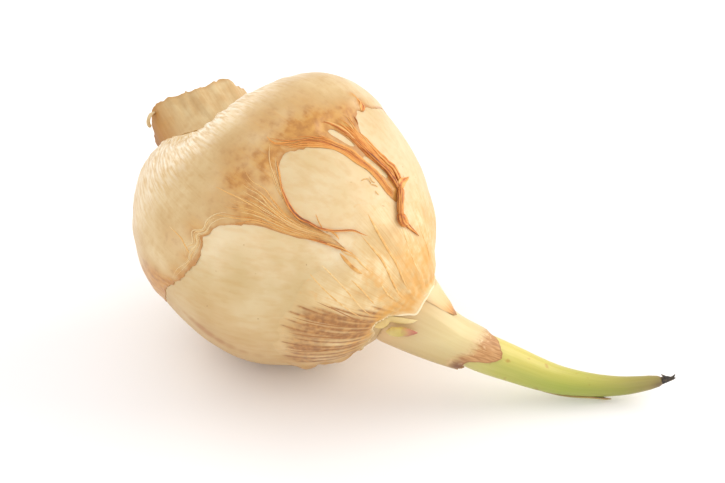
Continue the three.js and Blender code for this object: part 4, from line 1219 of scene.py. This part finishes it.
# ---- Inner scale folds ---------------------------------------------------------------------------
# Fine sharp folds that run down the inner scale to the neck, each a thread of skin pressed up on
# itself and dried orange-brown.
FOLDS = [
    ([(17.5, 52), (18.5, 49), (20.5, 43), (22, 37.2), (23, 32), (26, 25.5), (28, 20)], 0.14),
    ([(27, 49), (28, 41.2), (28.8, 36.8), (32.2, 30.2), (36.8, 22.2), (37.8, 18.2)], 0.13),
    ([(40, 51), (41.5, 45.8), (42.2, 42.8), (42, 39.8)], 0.19),
    ([(36, 56), (38.8, 50), (37.4, 45), (38, 41.5), (38.4, 36)], 0.09),
    ([(-9.4, 38), (-10, 32), (-11, 26.8), (-7, 20)], 0.10),
    ([(48.2, 57.8), (50.2, 50.2), (53.8, 41.5), (59.2, 33.8), (66, 24.5)], 0.07),
    ([(54.2, 57), (57.8, 49.8), (62.2, 40.5), (68, 29)], 0.07),
    ([(47.8, 41.8), (50, 35.8), (55, 28)], 0.09),
    ([(39.5, 33), (43, 27), (43.8, 20.2)], 0.10),
    ([(4, 44), (7, 36), (9.5, 28), (11, 21)], 0.07),
    ([(66, 48), (67, 40), (70, 31), (73, 25)], 0.06),
    ([(79, 52), (78.5, 44), (77.5, 36), (77, 27)], 0.06),
    ([(89.5, 51), (89, 43), (87.5, 35), (86, 28)], 0.07),
    ([(106, 50), (106, 43), (104, 36), (101, 30)], 0.08),
]  # each fold's line of (turn, angle) places, with its half width
FOLD_WIDTHS = np.array([0.4, 1.4, 1.4, 1.3, 0.6])
FOLD_HEIGHTS = np.array([0.2, 0.45, 0.45, 0.4, 0.2])
NECK_CENTRE = SHEATH_START - 2  # the station on the spine that the rim at the neck faces
BROWNED_TURN = 60  # the folds beyond this lie among the brown streaks, and are as brown
folds = []
for index, (line, half) in enumerate(FOLDS):
    tone = 0.25 + 1.5 * half + 0.45 * (line[0][0] > BROWNED_TURN)
    folds.append(
        sweep(
            "skin_fold_" + "abcdefghijklmn"[index], skin_path(line, [0], inner_surface),
            half * FOLD_WIDTHS, half * FOLD_HEIGHTS, rings=60, seed=60 + index, tone=[tone],
        )
    )


def neck_path(line):
    """A path along a line of places near the neck, outwards from the spine."""
    return path_through(line, one_long(line - spine_point(np.full(len(line), NECK_CENTRE))))


lip_turn, lip_angle = curve_through(np.array(INNER_RIM[1:-1], float), 6).T
lip_line = inner_place(lip_turn, lip_angle + 0.1, inner_surface(lip_turn, lip_angle)[0])
folds.append(
    sweep(
        "inner_scale_lip", neck_path(lip_line), [0.1, 0.13, 0.14, 0.15, 0.14, 0.12, 0.1], [0.06],
        rings=220, seed=80, tone=[0.08],
    )
)

# Skin pressed to a thread: the same thin skin, orange-brown where it is doubled.
material, tree, skin, coords = new_material("inner_scale_fold")
tone = node("Attribute", attribute_name="tone")
mottled = node("TexNoise", Vector=coords["Object"], Scale=1 / (0.7 * MM), Detail=3)
mixed = node("Math", operation="MULTIPLY_ADD", _0=mottled, _1=0.6, _2=tone)
base = node(
    "ValToRGB", Fac=mixed,
    stops=[(0.42, "#f3e2ba"), (0.58, "#e8c88c"), (0.72, "#deae66"), (0.9, "#d0964a"), (1, "#a8713a")],
)
wire(skin, Base_Color=base, Roughness=0.45)
for fold in folds:
    dress(fold, material, "inner_scale_skin", "inner_scale")

# ---- Side bud ------------------------------------------------------------------------------------
# A small dormant bud that lies in the bay of the inner scale, pointing along the shoot.
BUD_FOOT = round_spine(22.8, 81, 7.3)
BUD_TIP = round_spine(25.9, 66, 6.2)
BUD_RADII = [0.34, 0.6, 0.72, 0.72, 0.64, 0.5, 0.34, 0.18]
BUD_OUT = (0.2, -0.75, 0.63)
BUD_ARCH = 0.12


def bud_path(share):
    share = np.atleast_1d(share)[:, None]
    out = np.broadcast_to(BUD_OUT, (len(share), 3))
    middle = BUD_FOOT + (BUD_TIP - BUD_FOOT) * share + BUD_ARCH * out * np.sin(np.pi * share)
    return middle, out


bud = sweep("side_bud_point", bud_path, BUD_RADII, BUD_RADII, rings=40, seed=7)

# Living bud scale: smooth and yellow-green, blushed pink-red towards its point.
material, tree, skin, coords = new_material("side_bud_living_scale")
share = node("Attribute", attribute_name="share")
cloudy = node("TexNoise", Vector=coords["Object"], Scale=1 / (0.8 * MM), Detail=3)
uneven = node("Math", operation="MULTIPLY_ADD", _0=cloudy, _1=0.25, _2=share)
base = node(
    "ValToRGB", Fac=uneven,
    stops=[(0.15, "#d9c27c"), (0.6, "#c4ae5e"), (0.82, "#bd8a64"), (1, "#b06a54")],
)
wire(
    skin, Base_Color=base, Roughness=0.38, Subsurface_Weight=0.12,
    Subsurface_Radius=(0.8, 0.7, 0.3), Subsurface_Scale=0.6 * MM,
)
dress(bud, material, "bud_skin", "side_bud")

# The bud is hooded by a moist, yellow rag of skin between the inner scale and the sheath.
HOOD = np.array(
    [(51, 12.6), (57, 13.2), (62, 14.2), (67.5, 15.4), (72, 16.6), (76.5, 18.2), (81, 20)]
)
HOOD_LIFT = 0.12
hood_turn, hood_angle = curve_through(HOOD, 8).T
hood_line = inner_place(hood_turn, hood_angle, np.full(len(hood_turn), HOOD_LIFT))
hood = sweep(
    "side_bud_hood", neck_path(hood_line), [0.1, 0.32, 0.45, 0.5, 0.75, 0.9, 0.5],
    [0.05, 0.07, 0.1, 0.12, 0.12, 0.08], rings=60, seed=82,
)

# Moist dead skin: pale yellow and smooth, cream where it is thickest.
material, tree, skin, coords = new_material("bud_hood_moist_skin")
share = node("Attribute", attribute_name="share")
cloudy = node("TexNoise", Vector=coords["Object"], Scale=1 / MM, Detail=3)
uneven = node("Math", operation="MULTIPLY_ADD", _0=cloudy, _1=0.5, _2=share)
base = node("ValToRGB", Fac=uneven, stops=[(0.3, "#f0dba0"), (0.6, "#e7cd8c"), (1, "#dcc07e")])
wire(
    skin, Base_Color=base, Roughness=0.35, Subsurface_Weight=0.12,
    Subsurface_Radius=(0.8, 0.7, 0.3), Subsurface_Scale=0.6 * MM,
)
dress(hood, material, "bud_skin", "side_bud")

# ---- Under bract ---------------------------------------------------------------------------------
# A thin leaf that lies along the underside of the shoot, already drying at its edge. The shoot
# rests on it, and its free end stands a little away.
BRACT_THICKNESS = 0.24
BRACT_FREE_END = 54
BRACT_FREE_SLOPE = 0.14
BRACT_CLEARANCE = 0.05
BRACT_GAP = 0.02
BRACT_WAVE = 0.08
BRACT_OUTLINE = [
    (166, 46.6), (178, 46.6), (190, 48), (196, 50.5), (190, 53.5), (172, 55.5), (150, 56.7),
    (138, 56.3), (130, 55), (128, 53), (131, 51), (140, 49.4), (152, 47.8),
]
bract_unit = np.array([0.045, 1])
bract, flat, depth, turn, station = cut_sheet(
    "under_bract_leaf", BRACT_OUTLINE, bract_unit, cell=0.12, fray=0.1, flip=False
)
free = np.maximum(station - BRACT_FREE_END, 0) * BRACT_FREE_SLOPE
thickness = BRACT_THICKNESS * (0.4 + 0.6 * smooth(0, 0.8, depth))
wavy = BRACT_WAVE * grain(flat / 0.9, seed=81, octaves=2) * smooth(52, 56, station)
paint(bract, margin=depth)
stands = shoot_radius(station) + BRACT_GAP + free + wavy + thickness
put(bract, clear_of_table(round_spine(station, turn, stands), BRACT_CLEARANCE) * MM)
thicken(bract, BRACT_THICKNESS, thickness / BRACT_THICKNESS)

# Leaf that is drying out: olive green in its middle and brown at its edge, with a few rust spots.
material, tree, skin, coords = new_material("bract_drying_leaf")
margin = node("Attribute", attribute_name="margin")
cloudy = node("TexNoise", Vector=coords["Object"], Scale=1 / MM, Detail=3)
uneven = node("Math", operation="MULTIPLY_ADD", _0=cloudy, _1=0.8, _2=margin)
base = node(
    "ValToRGB", Fac=uneven,
    stops=[(0.38, "#a0764a"), (0.6, "#ab9150"), (0.85, "#a7a456"), (1, "#9aa552")],
)
wire(skin, Base_Color=base, Roughness=0.55)
dress(bract, material, "bract_leaf", "under_bract")

# ---- Dry tip -------------------------------------------------------------------------------------
# The withered end of the shoot: shrivelled to a dark stub that has split into two curled points.
TIP_FOOT = SHOOT_PROFILE[-1, 0]
TIP_OUT = (0.1, -0.2, 0.97)


def spine_path(ends):
    """A path through (station, turn, radius) places, with up as its outward direction."""
    track = curve_through(np.array([round_spine(*end) for end in ends]), 8)

    def path(share):
        middle = at_shares(track, share)
        return middle, np.broadcast_to(TIP_OUT, middle.shape)

    return path


tip_stub = sweep(
    "dry_tip_stub",
    spine_path([(TIP_FOOT - 0.7, 0, 0.05), (TIP_FOOT + 0.5, 0, 0.12), (TIP_FOOT + 1.9, -5, 0.15)]),
    [0.3, 0.52, 0.46, 0.3, 0.12], [0.3, 0.56, 0.5, 0.32, 0.12], rings=40, grooves=5, seed=8,
)
back_point = sweep(
    "dry_tip_back_point",
    spine_path([(TIP_FOOT + 0.7, 10, 0.15), (TIP_FOOT + 0.2, 5, 0.8), (TIP_FOOT - 0.2, 5, 1.35)]),
    [0.3, 0.24, 0.16, 0.05], [0.22, 0.2, 0.12, 0.05], rings=30, grooves=3, seed=9,
)
front_point = sweep(
    "dry_tip_front_point",
    spine_path([(TIP_FOOT + 1, 0, 0), (TIP_FOOT + 1.5, -5, 0.35), (TIP_FOOT + 1.9, -5, 0.85)]),
    [0.3, 0.26, 0.16, 0.05], [0.26, 0.2, 0.12, 0.05], rings=30, grooves=3, seed=10,
)

# Withered leaf: charcoal-dark and dull, with brown left in its folds.
material, tree, skin, coords = new_material("tip_withered_leaf")
cloudy = node("TexNoise", Vector=coords["Object"], Scale=1 / (0.5 * MM), Detail=4)
base = node("ValToRGB", Fac=cloudy, stops=[(0.35, "#27231f"), (0.5, "#413a31"), (0.68, "#6d5a41")])
bumps = node("Bump", Strength=0.6, Distance=0.08 * MM, Height=cloudy)
wire(skin, Base_Color=base, Normal=bumps, Roughness=0.7)
for piece in (tip_stub, back_point, front_point):
    dress(piece, material, "withered_tip", "dry_tip")

# ---- Runner stump --------------------------------------------------------------------------------
# What is left of the runner that fed the corm: dry spongy pith, broken off across the middle.
STUMP_RADIUS = 6.6
STUMP_LENGTH = 4.2
stump_foot = -CORM_RADII[-1]
STUMP_PROFILE = np.array(
    [
        (stump_foot + 0.6, 0), (stump_foot + 0.6, STUMP_RADIUS - 0.3), (stump_foot - 1, STUMP_RADIUS),
        (stump_foot - STUMP_LENGTH * 0.8, STUMP_RADIUS - 0.4),
        (stump_foot - STUMP_LENGTH, STUMP_RADIUS - 1.4),
        (stump_foot - STUMP_LENGTH * 0.85, STUMP_RADIUS - 3), (stump_foot - STUMP_LENGTH * 0.78, 0),
    ]
)
stump = turned("runner_stump_pith", STUMP_PROFILE, segments=96, rings=110, rough=0.35, seed=91)

# Dry pith: soft, spongy and straw-coloured, browned in its pores.
material, tree, skin, coords = new_material("runner_dry_pith")
pores = node("TexVoronoi", Vector=coords["Object"], Scale=1 / (0.5 * MM))
cloudy = node("TexNoise", Vector=coords["Object"], Scale=1 / (2 * MM), Detail=5)
base = node("ValToRGB", Fac=cloudy, stops=[(0.35, "#b98e55"), (0.5, "#d3b27c"), (0.65, "#e2c996")])
bumps = node("Bump", Strength=0.8, Distance=0.2 * MM, Height=pores.outputs["Distance"])
wire(skin, Base_Color=base, Normal=bumps, Roughness=0.8)
dress(stump, material, "runner_pith", "runner_stump")

# ---- Collar --------------------------------------------------------------------------------------
# The lowest scale, long dead: a brittle ring that stands up round the stump, ragged along its top
# and curled outwards on one side.
COLLAR_ANGLE = 154.5
COLLAR_DEGREE = 0.14
COLLAR_FOOT = -0.4
COLLAR_OUTLINE = [(turn, COLLAR_FOOT) for turn in ROUND_EDGE] + [
    (176, 4.2), (160, 4.8), (140, 4.6), (122, 5), (105, 5.2), (90, 5.5), (77, 6.1), (67, 6.8),
    (51, 7), (35, 7.3), (27, 7.3), (24, 7.8), (20, 7.2), (1, 7.4), (-16, 7.4), (-25, 6.9),
    (-31, 6.1), (-41, 5.2), (-60, 4.8), (-78, 4.4), (-96, 3.4), (-112, 3.8), (-126, 3.1),
    (-142, 4.2), (-160, 3.9), (-176, 4.2),
]
COLLAR_LEAN = 0.13
LEAN_TURN = -70
COLLAR_SET = 0.14  # how much closer than its full thickness it stands
COLLAR_FOLD, COLLAR_RIB, COLLAR_BEND = 0.3, 0.05, 0.15  # how far each kind of wrinkle stands out
CREASE, CREASE_TURN = 0.35, 44  # the one sharp crease in it
COLLAR_FLARE, FLARE_HEIGHT = 0.35, 0.6  # how much its foot spreads on to the corm


def collar_place(turn, height, out=0.0):
    """A place on the ring: it stands on the corm's base and leans out to one side."""
    foot = skin_reach(COLLAR_ANGLE, turn) + GAP
    lean = COLLAR_LEAN * np.cos(np.radians(turn - LEAN_TURN)) * height
    flare = COLLAR_FLARE * np.exp(-(height - COLLAR_FOOT) / FLARE_HEIGHT)
    radius = foot * np.sin(np.radians(COLLAR_ANGLE)) + lean + flare
    return round_spine(foot * np.cos(np.radians(COLLAR_ANGLE)) - height, turn, radius + out)


collar_unit = np.array([COLLAR_DEGREE, 1])
collar, flat, depth, turn, height = cut_sheet(
    "base_collar_ring", COLLAR_OUTLINE, collar_unit, cell=0.2, fray=0.12
)
from_top = np.interp(turn, *np.array(sorted(COLLAR_OUTLINE[len(ROUND_EDGE) :])).T) - height
folds = grain((turn / 13, height / 14), seed=101, octaves=2) * smooth(0, 3, height)
fine = grain((turn / 4, height / 6), seed=102, octaves=2)
bent = grain((turn / 9, height / 3), seed=103) * (1 - smooth(0, 1.8, from_top))
creased = CREASE * np.exp(-(((turn - CREASE_TURN + 1.5 * height) / 4) ** 2)) * smooth(0, 4, height)
out = SCALE_THICKNESS - COLLAR_SET + COLLAR_FOLD * folds + COLLAR_RIB * fine
out = out + COLLAR_BEND * bent - creased
paint(collar, turn=turn, top=from_top)
put(collar, collar_place(turn, height, out) * MM)
thicken(collar, SCALE_THICKNESS, 0.35 + 0.65 * smooth(0, 1.5, from_top))

CURL = np.array(
    [
        (67.6, 6.3, 0), (68.2, 6.3, 0.6), (68.2, 6, 1.2), (69.2, 5.4, 1.6), (71, 5, 1.7),
        (73.2, 4.6, 1.55), (74.6, 4.4, 1.25), (74, 4.6, 1),
    ]
)  # turn, height, distance out from the ring
CURL_END = -22.84  # its middle goes no farther out along the corm than this
curl_turn, curl_height, curl_out = curve_through(CURL, 8).T
curl_line = collar_place(curl_turn, curl_height, curl_out)
curl_line[:, 0] = np.maximum(curl_line[:, 0], CURL_END)
curl_side = collar_place(curl_turn + 1, curl_height, curl_out) - curl_line
curl_out = one_long(np.cross(np.gradient(curl_line, axis=0), curl_side))
curl = sweep(
    "collar_rim_curl", path_through(curl_line, curl_out), [0.5, 0.45, 0.4, 0.36, 0.32, 0.14],
    [0.22, 0.17, 0.15, 0.15, 0.1], rings=60, seed=11,
)
paint(curl, top=np.ones(len(places(curl))))

# Brittle dead leaf: brown and thin on the side that folded over, straw-cream on the other, with
# stiff fibres standing up in it.
material, tree, skin, coords = new_material("collar_brittle_leaf")
fibres = fibres_along(0.5, 5, scale=1.2)
cloudy = node("TexNoise", Vector=coords["Object"], Scale=1 / (2.5 * MM), Detail=4)
turn = node("Attribute", attribute_name="turn")
uneven = node("Math", operation="MULTIPLY_ADD", _0=cloudy, _1=40, _2=turn)
side = node(
    "ValToRGB", Fac=node("MapRange", Value=uneven, From_Min=-20, From_Max=120),
    stops=[(0.1, "#d6be90"), (0.6, "#d4ba88"), (0.78, "#c19150"), (0.92, "#a67338")],
)
base = tinted(side, 0.2, fibres, [(0.34, "#d6b37c"), (0.6, "#ffffff")])
base = tinted(base, 0.5, cloudy, [(0.34, "#e2c69a"), (0.6, "#ffffff")])
top = node("Attribute", attribute_name="top")
base = edged(base, top, 0.1, 0.7, 0.5, "#b5803f")
bumps = node("Bump", Strength=0.4, Distance=0.1 * MM, Height=fibres)
wire(skin, Base_Color=base, Normal=bumps, Roughness=0.6)
for piece in (collar, curl):
    dress(piece, material, "dry_collar", "base_collar")

# ---- Table, light and camera ---------------------------------------------------------------------
# The corm lies on a plain white table, in soft warm daylight from the right and a little behind.
TABLE_SIZE = 4
table = fresh("table_top", bpy.ops.mesh.primitive_plane_add, size=TABLE_SIZE)
material, tree, skin, coords = new_material("table_white_card")
wire(skin, Base_Color="#fbfaf9", Roughness=0.9, Specular_IOR_Level=0.1)
table.data.materials.append(material)

AZIMUTH, ELEVATION = np.radians(19), np.radians(35)
CORM_MIDDLE = Vector((0, 0, 22)) * MM
CAMERA_DISTANCE = 256.77 * MM
AIM_RIGHT, AIM_DOWN = 11.6 * MM, 3.4 * MM
back = Vector(
    (
        np.sin(AZIMUTH) * np.cos(ELEVATION), -np.cos(AZIMUTH) * np.cos(ELEVATION),
        np.sin(ELEVATION),
    )
)
right = Vector((np.cos(AZIMUTH), np.sin(AZIMUTH), 0))
up = back.cross(right)
bpy.ops.object.camera_add()
camera = bpy.context.object
camera.location = CORM_MIDDLE + right * AIM_RIGHT - up * AIM_DOWN + back * CAMERA_DISTANCE
camera.rotation_euler = back.to_track_quat("Z", "Y").to_euler()
camera.data.lens = 85
camera.data.sensor_width = 36
camera.data.clip_start = 0.01
bpy.context.scene.camera = camera


def soft_light(name, towards, distance, size, watts, colour):
    """A square soft light, aimed at the corm from so far away."""
    bpy.ops.object.light_add(type="AREA")
    light = bpy.context.object
    light.name = name
    light.location = CORM_MIDDLE + towards.normalized() * distance
    light.rotation_euler = towards.to_track_quat("Z", "Y").to_euler()
    light.data.size = size
    light.data.energy = watts
    light.data.color = srgb(colour)[:3]


away = Vector((-back.x, -back.y, 0)).normalized()
soft_light("far_window", away * 0.75 - right * 0.5 + Vector((0, 0, 0.45)), 0.6, 0.35, 0.8, "#fffaf2")
soft_light("window", right * 0.95 + away * 0.2 + Vector((0, 0, 0.45)), 0.6, 0.45, 2.1, "#fff8ec")
soft_light("near_room", back - right * 0.3 + Vector((0, 0, 0.3)), 0.6, 0.6, 0.65, "#fffdfa")
world = bpy.data.worlds.new("room")
bpy.context.scene.world = world
world.use_nodes = True
wire(world.node_tree.nodes["Background"], Color="#fdfcff", Strength=0.92)
bpy.context.scene.view_settings.view_transform = "Standard"
